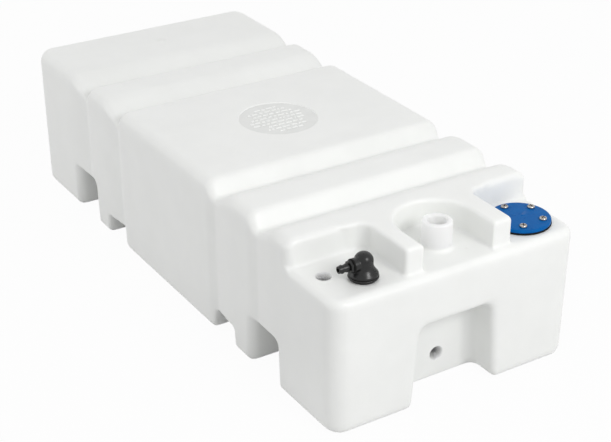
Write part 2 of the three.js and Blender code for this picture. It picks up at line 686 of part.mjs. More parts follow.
// Tank body
function tankBody() {
  let outer = bodyShell(0).add(platform());
  let hollow = bodyShell(WALL);
  for (const side of [-1, 1]) {
    outer = outer.subtract(tunnelCutter(side, 0)).subtract(slotCutter(side, 0));
    outer = outer.subtract(stripCornerCutter(side));
    hollow = hollow.subtract(tunnelCutter(side, WALL)).subtract(slotCutter(side, WALL));
  }
  outer = outer.subtract(recessCutter(0)).subtract(notchCutter(0));
  hollow = hollow.subtract(recessCutter(WALL)).subtract(notchCutter(WALL));

  const recessFloor = SHELF_Z - RECESS_FLOOR_DROP;
  const spigotTop = HEIGHT - SPIGOT_RIM_DROP;
  const spigot = turned([
    [0, recessFloor - WALL / 2],
    [SPIGOT_RADIUS + SPIGOT_FOOT_RADIUS, recessFloor - WALL / 2],
    [SPIGOT_RADIUS + SPIGOT_FOOT_RADIUS, recessFloor],
    [SPIGOT_RADIUS, recessFloor + SPIGOT_FOOT_RADIUS],
    [SPIGOT_TIP_RADIUS, spigotTop - SPIGOT_FOOT_RADIUS / 2],
    [SPIGOT_TIP_RADIUS - SPIGOT_FOOT_RADIUS / 4, spigotTop],
    [0, spigotTop],
  ]).translate(PLATFORM_X, RECESS_Y, 0);
  outer = outer.add(spigot);

  const portBoss = rod(PORT_BOSS_RADIUS, SHELF_Z - PORT_BOSS_DEPTH, SHELF_Z);
  for (const [x, y] of [[SPARE_PORT_X, SPARE_PORT_Y], [VENT_X, VENT_Y]]) {
    hollow = hollow.subtract(portBoss.translate(x, y, 0));
  }
  const outletBoss = rod(PORT_BOSS_RADIUS, 0, PORT_BOSS_DEPTH)
    .rotate(-90, 0, 0)
    .translate(OUTLET_X, NOTCH_BACK_Y, OUTLET_HEIGHT);
  hollow = hollow.subtract(outletBoss);
  const coverBoss = rod(COVER_BOSS_RADIUS, SHELF_Z - COVER_BOSS_DEPTH, SHELF_Z, ROUND);
  hollow = hollow.subtract(coverBoss.translate(COVER_X, COVER_Y, 0));

  let body = outer.subtract(hollow);
  body = body.subtract(rod(SPIGOT_BORE_RADIUS, SHELF_Z - WALL * 2, HEIGHT + OVERRUN)
    .translate(PLATFORM_X, RECESS_Y, 0));

  const mouth = PORT_MOUTH_RADIUS - PORT_RADIUS;
  const portBore = turned([
    [0, -PORT_BOSS_DEPTH - OVERRUN],
    [PORT_RADIUS, -PORT_BOSS_DEPTH - OVERRUN],
    [PORT_RADIUS, -mouth],
    [PORT_MOUTH_RADIUS, 0],
    [PORT_MOUTH_RADIUS, OVERRUN],
    [0, OVERRUN],
  ]);
  body = body.subtract(portBore.translate(SPARE_PORT_X, SPARE_PORT_Y, SHELF_Z));
  body = body.subtract(portBore.translate(VENT_X, VENT_Y, SHELF_Z));
  body = body.subtract(portBore.rotate(90, 0, 0).translate(OUTLET_X, NOTCH_BACK_Y, OUTLET_HEIGHT));

  body = body.subtract(rod(HAND_HOLE_RADIUS, SHELF_Z - COVER_BOSS_DEPTH - OVERRUN, SHELF_Z + OVERRUN)
    .translate(COVER_X, COVER_Y, 0));
  const pocket = turned(insertOutline(SEAT_GAP), SMALL_ROUND);
  for (const [x, y] of screwPlaces()) body = body.subtract(pocket.translate(x, y, 0));
  body = body.subtract(rod(DISC_RADIUS, HEIGHT - DISC_DEPTH, HEIGHT + OVERRUN)
    .translate(DISC_X, DISC_Y, 0));
  return body;
}
addPiece('tank_body', tankBody(), NATURAL_POLYETHYLENE);

// Inspection cover: a plate with a rounded rim, five screw holes and a locating spigot below
function inspectionCover() {
  const top = COVER_SEAT_Z + COVER_THICKNESS;
  const rim = roundedPath([
    [0, top],
    [COVER_RADIUS, top, COVER_EDGE_RADIUS],
    [COVER_RADIUS, COVER_SEAT_Z],
  ]);
  let cover = turned([
    ...rim,
    [COVER_SPIGOT_RADIUS, COVER_SEAT_Z],
    [COVER_SPIGOT_RADIUS, COVER_SEAT_Z - COVER_SPIGOT_DEPTH],
    [COVER_SPIGOT_RADIUS - COVER_SPIGOT_WALL, COVER_SEAT_Z - COVER_SPIGOT_DEPTH],
    [COVER_SPIGOT_RADIUS - COVER_SPIGOT_WALL, COVER_SEAT_Z],
    [0, COVER_SEAT_Z],
  ].reverse()).translate(COVER_X, COVER_Y, 0);
  const hole = rod(SCREW_RADIUS + SCREW_CLEARANCE, COVER_SEAT_Z - OVERRUN, top + OVERRUN, SMALL_ROUND);
  for (const [x, y] of screwPlaces()) cover = cover.subtract(hole.translate(x, y, 0));
  return cover;
}
addPiece('inspection_cover', inspectionCover(), BLUE_POLYPROPYLENE);

// Gasket: a flat ring under the cover's rim, with a hole for each screw
function coverGasket() {
  const bottom = SHELF_Z + SEAT_GAP;
  const top = bottom + GASKET_THICKNESS;
  let ring = turned([
    [HAND_HOLE_RADIUS, bottom],
    [COVER_RADIUS + GASKET_OVERHANG, bottom],
    [COVER_RADIUS + GASKET_OVERHANG, top],
    [HAND_HOLE_RADIUS, top],
  ]).translate(COVER_X, COVER_Y, 0);
  const hole = rod(SCREW_RADIUS + SCREW_CLEARANCE, bottom - OVERRUN, top + OVERRUN, SMALL_ROUND);
  for (const [x, y] of screwPlaces()) ring = ring.subtract(hole.translate(x, y, 0));
  return ring;
}
addPiece('cover_gasket', coverGasket(), BLACK_RUBBER);

// Cover screws: pan head with a socket, and a plain shank that ends inside its insert
const HEAD_SEAT_Z = COVER_SEAT_Z + COVER_THICKNESS + SEAT_GAP;
function coverScrew() {
  const top = HEAD_SEAT_Z + SCREW_HEAD_HEIGHT;
  const head = roundedPath([
    [0, top],
    [SCREW_HEAD_RADIUS, top, SCREW_HEAD_HEIGHT / 2],
    [SCREW_HEAD_RADIUS, HEAD_SEAT_Z],
  ]);
  const blank = turned([
    ...head,
    [SCREW_RADIUS, HEAD_SEAT_Z],
    [SCREW_RADIUS, HEAD_SEAT_Z - SCREW_LENGTH],
    [0, HEAD_SEAT_Z - SCREW_LENGTH],
  ].reverse(), SMALL_ROUND);
  return blank.subtract(rod(SCREW_SOCKET_RADIUS, top - SCREW_SOCKET_DEPTH, top + OVERRUN, 6));
}

// Brass inserts: blind, with an anchoring groove, moulded into the boss under the cover
function coverInsert() {
  const bore = rod(SCREW_RADIUS + SCREW_CLEARANCE, INSERT_BOTTOM + INSERT_FLOOR, INSERT_TOP + OVERRUN,
    SMALL_ROUND);
  return turned(insertOutline(0), SMALL_ROUND).subtract(bore);
}
screwPlaces().forEach(([x, y], i) => {
  addPiece(`cover_screw_${i + 1}`, coverScrew().translate(x, y, 0), STAINLESS_STEEL);
  addPiece(`cover_insert_${i + 1}`, coverInsert().translate(x, y, 0), BRASS);
});

// Vent fitting, built about its own axis with its zero at the shelf
const vent = new THREE.Group();
vent.position.set(VENT_X, VENT_Y, SHELF_Z);
tank.add(vent);

const FLANGE_BOTTOM = SEAT_GAP + VENT_WASHER_THICKNESS + SEAT_GAP;
const FLANGE_TOP = FLANGE_BOTTOM + VENT_FLANGE_THICKNESS;
const POST_TOP = FLANGE_TOP + VENT_POST_LENGTH;
const STEM_RADIUS = PORT_RADIUS - VENT_STEM_CLEARANCE;
const RING_Z = FLANGE_TOP + VENT_RING_HEIGHT;
const CLIP_Z = FLANGE_TOP + VENT_CLIP_HEIGHT;
const ELBOW_BORE_RADIUS = VENT_POST_RADIUS + VENT_POST_CLEARANCE;

addPiece('vent_washer', turned([
  [STEM_RADIUS + SEAT_GAP, SEAT_GAP],
  [VENT_WASHER_RADIUS, SEAT_GAP],
  [VENT_WASHER_RADIUS, SEAT_GAP + VENT_WASHER_THICKNESS],
  [STEM_RADIUS + SEAT_GAP, SEAT_GAP + VENT_WASHER_THICKNESS],
]), BLACK_RUBBER, vent);

// Base: threaded stem through the port, round flange, and the post that the elbow turns on
function ventBase() {
  const ringHalf = VENT_RING_SECTION / 2 + SEAT_GAP;
  const ringRoot = ELBOW_BORE_RADIUS - VENT_RING_SECTION - SEAT_GAP * 2;
  const clipRoot = VENT_POST_RADIUS - VENT_CLIP_DEPTH;
  const clipHalf = VENT_CLIP_THICKNESS / 2 + VENT_CLIP_GAP;
  const flange = roundedPath([
    [STEM_RADIUS, FLANGE_BOTTOM],
    [VENT_FLANGE_RADIUS, FLANGE_BOTTOM, VENT_FLANGE_THICKNESS / 3],
    [VENT_FLANGE_RADIUS, FLANGE_TOP, VENT_FLANGE_THICKNESS / 3],
    [VENT_POST_RADIUS, FLANGE_TOP],
  ]);
  return turned([
    [VENT_BORE_RADIUS, FLANGE_BOTTOM - VENT_STEM_LENGTH],
    [STEM_RADIUS, FLANGE_BOTTOM - VENT_STEM_LENGTH],
    ...flange,
    [VENT_POST_RADIUS, RING_Z - ringHalf],
    [ringRoot, RING_Z - ringHalf],
    [ringRoot, RING_Z + ringHalf],
    [VENT_POST_RADIUS, RING_Z + ringHalf],
    [VENT_POST_RADIUS, CLIP_Z - clipHalf],
    [clipRoot, CLIP_Z - clipHalf],
    [clipRoot, CLIP_Z + clipHalf],
    [VENT_POST_RADIUS, CLIP_Z + clipHalf],
    [VENT_POST_RADIUS, POST_TOP],
    [VENT_BORE_RADIUS, POST_TOP],
  ]);
}
addPiece('vent_base', ventBase(), BLACK_NYLON, vent);

// O-ring in the post's groove
function ventRing() {
  const radius = VENT_RING_SECTION / 2;
  const middle = ELBOW_BORE_RADIUS - SEAT_GAP - radius;
  const outline = [];
  for (let i = 0; i < RING_SIDES; i += 1) {
    const angle = (Math.PI * 2 * i) / RING_SIDES;
    outline.push([middle + radius * Math.cos(angle), RING_Z + radius * Math.sin(angle)]);
  }
  return turned(outline);
}
addPiece('vent_o_ring', ventRing(), BLACK_RUBBER, vent);

// Retaining clip: an open ring sprung into the post's upper groove, above the elbow's shoulder
function ventClip() {
  const inner = VENT_POST_RADIUS - VENT_CLIP_DEPTH + VENT_CLIP_GAP;
  const outer = ELBOW_CHAMBER_RADIUS - VENT_CLIP_GAP;
  const half = VENT_CLIP_THICKNESS / 2;
  const ring = turned([
    [inner, CLIP_Z - half],
    [outer, CLIP_Z - half],
    [outer, CLIP_Z + half],
    [inner, CLIP_Z + half],
  ]);
  const reach = outer * 2;
  const spread = reach * Math.tan(THREE.MathUtils.degToRad(VENT_CLIP_OPENING_DEG / 2));
  const wedge = prismUp([CLIP_Z - OVERRUN, CLIP_Z + OVERRUN].map((z) => [
    [0, 0, z], [reach, -spread, z], [reach, spread, z],
  ]));
  return ring.subtract(wedge);
}
addPiece('vent_clip', ventClip(), SPRING_STEEL, vent);

// Elbow: a bell over the post, domed above, with a tapped boss towards the left for the hose tail
const ELBOW_BOTTOM = FLANGE_TOP + SEAT_GAP;
const TAIL_Z = ELBOW_BOTTOM + ELBOW_TAIL_HEIGHT;
const BOSS_END = ELBOW_DOME_RADIUS + ELBOW_SIDE_BOSS_LENGTH;
function ventElbow() {
  const top = ELBOW_BOTTOM + ELBOW_HEIGHT;
  const waist = ELBOW_BOTTOM + ELBOW_SKIRT_HEIGHT;
  const bell = roundedPath([
    [ELBOW_SKIRT_RADIUS, ELBOW_BOTTOM],
    [ELBOW_SKIRT_RADIUS, ELBOW_BOTTOM + ELBOW_SHOULDER, ELBOW_SHOULDER],
    [ELBOW_DOME_RADIUS, waist, ELBOW_DOME_RADIUS],
    [ELBOW_DOME_RADIUS, top, ELBOW_DOME_RADIUS - ELBOW_SHOULDER],
    [0, top],
  ]);
  const shoulderTop = CLIP_Z - VENT_CLIP_THICKNESS / 2 - VENT_CLIP_GAP;
  const outer = turned([[0, ELBOW_BOTTOM], ...bell]);
  const boss = rod(ELBOW_SIDE_BOSS_RADIUS, 0, BOSS_END).rotate(0, -90, 0).translate(0, 0, TAIL_Z);
  const bore = rod(ELBOW_BORE_RADIUS, ELBOW_BOTTOM - OVERRUN, shoulderTop + SEAT_GAP);
  const chamberTop = top - (ELBOW_DOME_RADIUS - ELBOW_CHAMBER_RADIUS);
  const chamber = turned([
    [0, shoulderTop],
    [ELBOW_CHAMBER_RADIUS, shoulderTop],
    [ELBOW_CHAMBER_RADIUS, chamberTop - ELBOW_CHAMBER_RADIUS / 2],
    [ELBOW_CHAMBER_RADIUS / 2, chamberTop],
    [0, chamberTop],
  ]);
  const thread = rod(ELBOW_TAIL_THREAD_RADIUS, 0, BOSS_END + OVERRUN, SMALL_ROUND)
    .rotate(0, -90, 0)
    .translate(0, 0, TAIL_Z);
  return outer.add(boss).subtract(bore).subtract(chamber).subtract(thread);
}
addPiece('vent_elbow', ventElbow(), BLACK_NYLON, vent);

addPiece('tail_washer', turned([
  [ELBOW_TAIL_THREAD_RADIUS, BOSS_END + SEAT_GAP],
  [ELBOW_SIDE_BOSS_RADIUS, BOSS_END + SEAT_GAP],
  [ELBOW_SIDE_BOSS_RADIUS, BOSS_END + SEAT_GAP + TAIL_WASHER_THICKNESS],
  [ELBOW_TAIL_THREAD_RADIUS, BOSS_END + SEAT_GAP + TAIL_WASHER_THICKNESS],
]).rotate(0, -90, 0).translate(0, 0, TAIL_Z), BLACK_RUBBER, vent);

// Hose tail: threaded end in the boss, hexagonal collar, and barbs that grip the hose
function hoseTail() {
  const threadRadius = ELBOW_TAIL_THREAD_RADIUS - SEAT_GAP;
  const collarStart = BOSS_END + SEAT_GAP + TAIL_WASHER_THICKNESS + SEAT_GAP;
  const collarEnd = collarStart + TAIL_COLLAR_LENGTH;
  const outline = [
    [0, collarStart - TAIL_THREAD_LENGTH],
    [threadRadius, collarStart - TAIL_THREAD_LENGTH],
    [threadRadius, collarStart + TAIL_COLLAR_LENGTH / 2],
    [TAIL_RADIUS, collarStart + TAIL_COLLAR_LENGTH / 2],
  ];
  let at = collarEnd;
  for (let i = 0; i < TAIL_BARB_COUNT; i += 1) {
    outline.push([TAIL_RADIUS, at + TAIL_BARB_PITCH - TAIL_BARB_LENGTH]);
    outline.push([TAIL_BARB_RADIUS, at + TAIL_BARB_PITCH - TAIL_BARB_LENGTH]);
    at += TAIL_BARB_PITCH;
    outline.push([TAIL_RADIUS, at]);
  }
  outline.push([TAIL_RADIUS, at + TAIL_TIP_LENGTH], [0, at + TAIL_TIP_LENGTH]);
  const collarRadius = TAIL_COLLAR_FLATS / Math.sqrt(3);
  const collar = rod(collarRadius, collarStart, collarEnd, 6).rotate(0, 0, 30);
  const bore = rod(TAIL_BORE_RADIUS, 0, at + TAIL_TIP_LENGTH + OVERRUN, SMALL_ROUND);
  return turned(outline, SMALL_ROUND + 4).add(collar).subtract(bore)
    .rotate(0, -90, 0)
    .translate(0, 0, TAIL_Z);
}
addPiece('vent_hose_tail', hoseTail(), BLACK_NYLON, vent);

export default tank;
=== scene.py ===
"""Looks of the fresh water tank: its moulded shell, cover and vent fitting, light and camera."""
import json
import math
import random

import bmesh
import bpy
import numpy as np
from mathutils import Matrix, Vector


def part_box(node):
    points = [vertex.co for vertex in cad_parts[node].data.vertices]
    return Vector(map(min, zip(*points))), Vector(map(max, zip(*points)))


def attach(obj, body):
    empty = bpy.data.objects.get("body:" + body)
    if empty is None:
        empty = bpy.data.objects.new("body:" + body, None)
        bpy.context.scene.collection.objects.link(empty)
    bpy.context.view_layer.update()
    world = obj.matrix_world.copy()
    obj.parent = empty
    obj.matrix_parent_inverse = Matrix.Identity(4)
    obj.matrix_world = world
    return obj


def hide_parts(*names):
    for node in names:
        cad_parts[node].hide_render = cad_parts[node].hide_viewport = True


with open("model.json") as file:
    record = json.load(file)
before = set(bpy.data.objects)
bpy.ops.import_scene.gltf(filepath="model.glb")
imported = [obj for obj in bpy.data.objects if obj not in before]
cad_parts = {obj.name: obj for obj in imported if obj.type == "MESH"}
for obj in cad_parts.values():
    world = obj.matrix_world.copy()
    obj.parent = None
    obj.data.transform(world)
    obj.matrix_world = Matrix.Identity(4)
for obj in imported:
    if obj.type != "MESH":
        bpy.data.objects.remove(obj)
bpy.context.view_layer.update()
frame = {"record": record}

# Sizes are in metres. X runs to the right, +Y to the back, the filler end is at -Y.
# Shell, gap between touching pieces, overrun of cutters, least step of two rings, slack of a face
LENGTH = 0.800
WIDTH = 0.346
HEIGHT = 0.208
WALL = 0.005
FRONT_Y = -LENGTH / 2
RIGHT_X = WIDTH / 2
SEAT_GAP = 0.0003
OVERRUN = 0.004
RING_GAP = 0.00005
FACE_SLACK = 0.0001

# Outer edges of the shell
FRONT_CORNER_RADIUS = 0.023
BACK_CORNER_RADIUS = 0.026
TOP_EDGE_RADIUS = 0.017
SHELF_EDGE_RADIUS = 0.011
BOTTOM_EDGE_RADIUS = 0.012
BOTTOM_DRAFT = 0.0024

# Grooves round the shell
MIDDLE_BLOCK_HALF = 0.118
OUTER_BLOCK_HALF = 0.217
GROOVE_WALL_RUN = 0.015
GROOVE_RAMP_RUN = 0.037
GROOVE_DEPTH_TOP = 0.023
GROOVE_DEPTH_SIDE = 0.004
GROOVE_LIP_RADIUS = 0.009
GROOVE_ROOT_RADIUS = 0.004
GROOVE_RAMP_RADIUS = 0.040
GROOVE_EDGE_RADIUS = 0.007

# Tunnels and slots under the shell. A tunnel's mouths widen all round, a slot's on its outer side.
PASSAGE_LEAN = 0.003
FOOT_EDGE_RADIUS = 0.009
TUNNEL = {"inner": 0.216, "outer": 0.278, "height": 0.062, "corner_radius": 0.004,
          "mouth_radius": 0.016, "inner_foot_radius": FOOT_EDGE_RADIUS, "widens_all_round": True}
SLOT = {"inner": 0.125, "outer": 0.178, "height": 0.031, "corner_radius": 0.005,
        "mouth_radius": 0.009, "inner_foot_radius": 0.012, "widens_all_round": False}

# Lowered shelf at the front, raised platform and the recess in it
SHELF_DROP = 0.034
SHELF_LEVEL = HEIGHT - SHELF_DROP
SHELF_BACK = -0.302
SHELF_BACK_LEAN = 0.003
SHELF_LIP_RADIUS = 0.009
SHELF_ROOT_RADIUS = 0.003
SHELF_CORNER_RADIUS = 0.014
PLATFORM_X = 0.0055
PLATFORM_HALF = 0.0745
PLATFORM_FRONT = -0.387
PLATFORM_EDGE_RADIUS = 0.0045
PLATFORM_FLARE = 0.015
PLATFORM_FLARE_RUN = 0.021
PLATFORM_BACK_RUN = 0.060
RECESS_X = 0.004
RECESS_RADIUS = 0.0490
RECESS_LIP = 0.005
RECESS_FLOOR_DROP = 0.0006
RECESS_FLOOR = SHELF_LEVEL - RECESS_FLOOR_DROP

# Filler spigot, moulded with the shell
SPIGOT_RADIUS = 0.0188
SPIGOT_TIP_RADIUS = 0.0178
SPIGOT_FOOT_RADIUS = 0.0055
SPIGOT_FOOT_SPREAD = 0.0077
SPIGOT_TOP = 0.207
SPIGOT_RIM_RADIUS = 0.00224
SPIGOT_BORE_RADIUS = 0.011
SPIGOT_BORE_CHAMFER = 0.0016

# Notch at the foot of the front face
NOTCH_X = -0.0015
NOTCH_HALF = 0.0585
NOTCH_HEIGHT = 0.108
NOTCH_BACK_Y = -0.354
NOTCH_TOP_TAPER = 0.008
NOTCH_EDGE_RADIUS = 0.014
NOTCH_ROOT_RADIUS = 0.014
NOTCH_MOUTH_RADIUS = 0.009
NOTCH_FOOT_RADIUS = 0.012

# Tapped ports and their bosses. The thread is drawn coarser than the real 1.34 mm pitch, so that
# its turns show as they do in the photograph.
PORT_RADIUS = 0.00833
PORT_MOUTH_RADIUS = 0.0097
PORT_BOSS_RADIUS = 0.015
PORT_BOSS_DEPTH = 0.015
PORT_THREAD_PITCH = 0.0024
PORT_THREAD_DEPTH = 0.0008
HAND_HOLE_RADIUS = 0.020
COVER_BOSS_RADIUS = 0.0384
COVER_BOSS_DEPTH = 0.014

# Round plate recess on the middle block, with rows of raised dashes
PLATE_CENTRE = Vector((-0.002, -0.006, HEIGHT))
PLATE_RADIUS = 0.0525
PLATE_DEPTH = 0.0012
DASH_FIELD_RADIUS = 0.043
DASH_ROW_PITCH = 0.0088
DASH_HALF_WIDTH = 0.0012
DASH_HEIGHT = 0.0012
DASH_SHORTEST = 0.0030
DASH_LONGEST = 0.0110
DASH_GAP = 0.0018
DASH_CORNER_SHARE = 0.6
DASH_START_SHARES = (0.55, 1)
DASH_GAP_SHARES = (0.6, 1.6)
DASH_STEPS = 3
DASH_SEED = 11

# Small marks that the mould leaves
NUB_PLACE = Vector((-0.0017, 0.326, HEIGHT))
NUB_RADIUS = 0.0065
NUB_HEIGHT = 0.0016
DIMPLE_PLACE = Vector((0.028, -0.367, RECESS_FLOOR))
DIMPLE_RADIUS = 0.0032
DIMPLE_DEPTH = 0.0006

# How finely the shell is meshed, and how far powder rounds its edges
SHELL_STEPS = 10
HOLLOW_STEPS = 4
SHELL_VOXEL = 0.0019
SHELL_KEPT_SHARE = 0.22
SHELL_ROUNDS = 4
PLATFORM_ROUNDS = 2
PLATFORM_BACK_Y = -0.292
PLATFORM_BLEND = 0.03

# Inspection cover, gasket, screws and inserts
COVER_RADIUS = 0.0368
COVER_THICKNESS = 0.004
COVER_EDGE_RADIUS = 0.0016
COVER_CROWN = 0.0004
COVER_SPIGOT_RADIUS = 0.0185
COVER_SPIGOT_DEPTH = 0.006
COVER_SPIGOT_WALL = 0.0025
GASKET_THICKNESS = 0.002
GASKET_OVERHANG = 0.0006
GASKET_EDGE_RADIUS = 0.0004
COVER_SEAT = SHELF_LEVEL + SEAT_GAP + GASKET_THICKNESS + SEAT_GAP
GATE_MARK_OFFSET = Vector((0.0035, 0.0008, 0))
GATE_MARK_RADIUS = 0.0014
GATE_MARK_HEIGHT = 0.0004
SCREW_COUNT = 5
SCREW_RADIUS = 0.0025
SCREW_CLEARANCE = 0.00035
SCREW_HEAD_RADIUS = 0.0046
SCREW_HEAD_HEIGHT = 0.0026
SCREW_HEAD_ROUND = 0.00182
SCREW_LENGTH = 0.014
SCREW_PITCH = 0.0008
SCREW_THREAD_DEPTH = 0.00045
SCREW_SLOT_REACH = 0.0027
SCREW_SLOT_WIDTH = 0.0013
SCREW_SLOT_DEPTH = 0.0017
SCREW_SLOT_FLOOR_SHARE = 0.35
SCREW_TURN_STEP_DEG = 37
INSERT_RADIUS = 0.0036
INSERT_LENGTH = 0.0095
INSERT_GROOVE_DEPTH = 0.0006
INSERT_FLOOR = 0.0012

# Vent fitting: washer, foot, O-ring, clip, bell elbow, tail washer and hose tail
VENT_WASHER_RADIUS = 0.0155
VENT_WASHER_THICKNESS = 0.0015
VENT_FLANGE_RADIUS = 0.0176
VENT_FLANGE_THICKNESS = 0.0028
VENT_POST_RADIUS = 0.0062
VENT_POST_LENGTH = 0.015
VENT_BORE_RADIUS = 0.0032
VENT_STEM_RADIUS = 0.00808
VENT_STEM_LENGTH = 0.014
VENT_RING_RADIUS = 0.0009
VENT_RING_HEIGHT = 0.0055
VENT_CLIP_HEIGHT = 0.0115
VENT_CLIP_THICKNESS = 0.001
VENT_CLIP_DEPTH = 0.0009
VENT_CLIP_GAP = 0.00025
VENT_CLIP_OPENING_DEG = 60
ELBOW_SKIRT_RADIUS = 0.017
ELBOW_DOME_RADIUS = 0.0110
ELBOW_HEIGHT = 0.0274
ELBOW_SKIRT_HEIGHT = 0.0100
ELBOW_SHOULDER = 0.0022
ELBOW_CHAMBER_RADIUS = 0.0076
ELBOW_SIDE_BOSS_RADIUS = 0.0084
ELBOW_SIDE_BOSS_LENGTH = 0.0040
ELBOW_TAIL_HEIGHT = 0.0146
ELBOW_TAIL_THREAD_RADIUS = 0.0042
ELBOW_VOXEL = 0.00035
ELBOW_ROUNDS = 6
ELBOW_KEPT_SHARE = 0.35
ELBOW_CREASE_DEG = 50
TAIL_WASHER_THICKNESS = 0.001
TAIL_COLLAR_FLATS = 0.0134
TAIL_COLLAR_LENGTH = 0.0034
TAIL_COLLAR_CHAMFER = 0.0009
TAIL_RADIUS = 0.0043
TAIL_BARB_RADIUS = 0.0053
TAIL_BARB_COUNT = 2
TAIL_BARB_PITCH = 0.006
TAIL_BARB_LENGTH = 0.0032
TAIL_TIP_LENGTH = 0.0016
TAIL_BORE_RADIUS = 0.0025
TAIL_THREAD_LENGTH = 0.005
TAIL_CREASE_DEG = 25

# Heights of the vent's parts
FLANGE_BOTTOM = SHELF_LEVEL + SEAT_GAP + VENT_WASHER_THICKNESS + SEAT_GAP
FLANGE_TOP = FLANGE_BOTTOM + VENT_FLANGE_THICKNESS
ELBOW_BOTTOM = FLANGE_TOP + SEAT_GAP
ELBOW_TOP = ELBOW_BOTTOM + ELBOW_HEIGHT
RING_LEVEL = FLANGE_TOP + VENT_RING_HEIGHT
CLIP_LEVEL = FLANGE_TOP + VENT_CLIP_HEIGHT
TAIL_LEVEL = ELBOW_BOTTOM + ELBOW_TAIL_HEIGHT
BOSS_END = ELBOW_DOME_RADIUS + ELBOW_SIDE_BOSS_LENGTH
ELBOW_BORE_RADIUS = VENT_POST_RADIUS + SEAT_GAP

# Facets, steps in a quarter turn and in a turn of thread, edge share of rings, crisp edge's angle
FINE_ROUND = 96
SMALL_ROUND = 48
ARC_STEPS = 8
THREAD_STEPS = 6
RING_EDGE_SHARE = 0.2
CREASE_DEG = 34

# White floor and even room
FLOOR_REACH = 6.0
FLOOR_GREY = "#D8D8D8"
FLOOR_WHITE_SHARE = 0.96
ROOM_STRENGTH = 0.70

# Camera fitted to the photograph
CAMERA_AZIMUTH_DEG = -32.31
CAMERA_ELEVATION_DEG = 27.70
CAMERA_ROLL_DEG = 0.18
CAMERA_DISTANCE = 1.86658
CAMERA_TARGET = Vector((-0.01663, -0.09705, 0.100))
CAMERA_LENS_MM = 85.10
CAMERA_SENSOR_MM = 36.0


# Mesh tools

def new_piece(points, faces):
    mesh = bpy.data.meshes.new("piece")
    mesh.from_pydata([tuple(point) for point in points], [], faces)
    piece = bpy.data.objects.new("piece", mesh)
    bpy.context.scene.collection.objects.link(piece)
    return piece


def changed(piece, kind, **settings):
    """Applies one modifier to the piece."""
    modifier = piece.modifiers.new("change", kind)
    for key, value in settings.items():
        setattr(modifier, key, value)
    graph = bpy.context.evaluated_depsgraph_get()
    mesh = bpy.data.meshes.new_from_object(piece.evaluated_get(graph))
    old = piece.data
    piece.modifiers.clear()
    piece.data = mesh
    bpy.data.meshes.remove(old)
    return piece


def weld(piece, distance=1e-7):
    shape = bmesh.new()
    shape.from_mesh(piece.data)
    bmesh.ops.remove_doubles(shape, verts=shape.verts, dist=distance)
    bmesh.ops.recalc_face_normals(shape, faces=shape.faces)
    shape.to_mesh(piece.data)
    shape.free()
    return piece


def moved(piece, matrix):
    piece.data.transform(matrix)
    return piece


def placed(piece, place):
    return moved(piece, Matrix.Translation(place))


def quarter_turn(steps):
    """Angles from nothing to a quarter turn."""
    return [math.pi / 2 * step / steps for step in range(steps + 1)]


def edge_steps(radius, steps):
    """Steps of a rounded edge: how far each is short of the edge's end, and how far it has come in."""
    return [(radius * (1 - math.sin(angle)), radius * (1 - math.cos(angle)))
            for angle in quarter_turn(steps)]


def round_path(corners, steps=ARC_STEPS):
    """A path of (u, v) points from (u, v) or (u, v, radius) corners, each rounded by its radius."""
    path = []
    for i, corner in enumerate(corners):
        at = Vector(corner[:2])
        radius = corner[2] if len(corner) > 2 else 0
        if radius == 0:
            path.append(tuple(at))
            continue
        before = (Vector(corners[i - 1][:2]) - at).normalized()
        after = (Vector(corners[(i + 1) % len(corners)][:2]) - at).normalized()
        half = before.angle(after) / 2
        start = at + before * (radius / math.tan(half))
        end = at + after * (radius / math.tan(half))
        centre = at + (before + after).normalized() * (radius / math.sin(half))
        first, last = start - centre, end - centre
        turn = math.copysign(math.pi - 2 * half, first.x * last.y - first.y * last.x)
        count = max(1, round(steps * abs(turn) / (math.pi / 2)))
        for step in range(count + 1):
            arm = Matrix.Rotation(turn * step / count, 2) @ first
            path.append((centre.x + arm.x, centre.y + arm.y))
    return path


def skin_over(*bundles):
    """A closed skin over each bundle of rings of equal count, with flat ends."""
    points = []
    faces = []
    for rings in bundles:
        first = len(points)
        count = len(rings[0])
        points += [point for ring in rings for point in ring]
        for low in range(first, len(points) - count, count):
            for i in range(count):
                n = (i + 1) % count
                faces.append((low + i, low + n, low + count + n, low + count + i))
        faces.append(tuple(reversed(range(first, first + count))))
        faces.append(tuple(range(len(points) - count, len(points))))
    return weld(new_piece(points, faces))


def turned(corners, centre=(0, 0, 0), facets=FINE_ROUND):
    """A closed solid of revolution about Z, from the (radius, height) corners of its section."""
    outline = round_path(corners)
    count = len(outline)
    points = []
    for j in range(facets):
        angle = 2 * math.pi * j / facets
        for radius, height in outline:
            points.append((radius * math.cos(angle), radius * math.sin(angle), height))
    faces = []
    for j in range(facets):
        k = (j + 1) % facets
        for i in range(count):
            n = (i + 1) % count
            if outline[i][0] == 0 and outline[n][0] == 0:
                continue
            faces.append((j * count + i, k * count + i, k * count + n, j * count + n))
    return placed(weld(new_piece(points, faces)), centre)


def rod(radius, bottom, top, centre=(0, 0, 0), facets=SMALL_ROUND):
    return turned([(0, bottom), (radius, bottom), (radius, top), (0, top)], centre, facets)


def threaded_rod(radius, depth, pitch, bottom, top):
    """A closed rod with one helical ridge whose crest stands proud of the radius by the depth."""
    rings = []
    count = round((top - bottom) / pitch * THREAD_STEPS)
    for j in range(count + 1):
        height = bottom + (top - bottom) * j / count
        ring = []
        for k in range(SMALL_ROUND):
            phase = (height / pitch - k / SMALL_ROUND) % 1
            reach = radius + depth * (1 - abs(2 * phase - 1))
            angle = 2 * math.pi * k / SMALL_ROUND
            ring.append((reach * math.cos(angle), reach * math.sin(angle), height))
        rings.append(ring)
    return skin_over(rings)


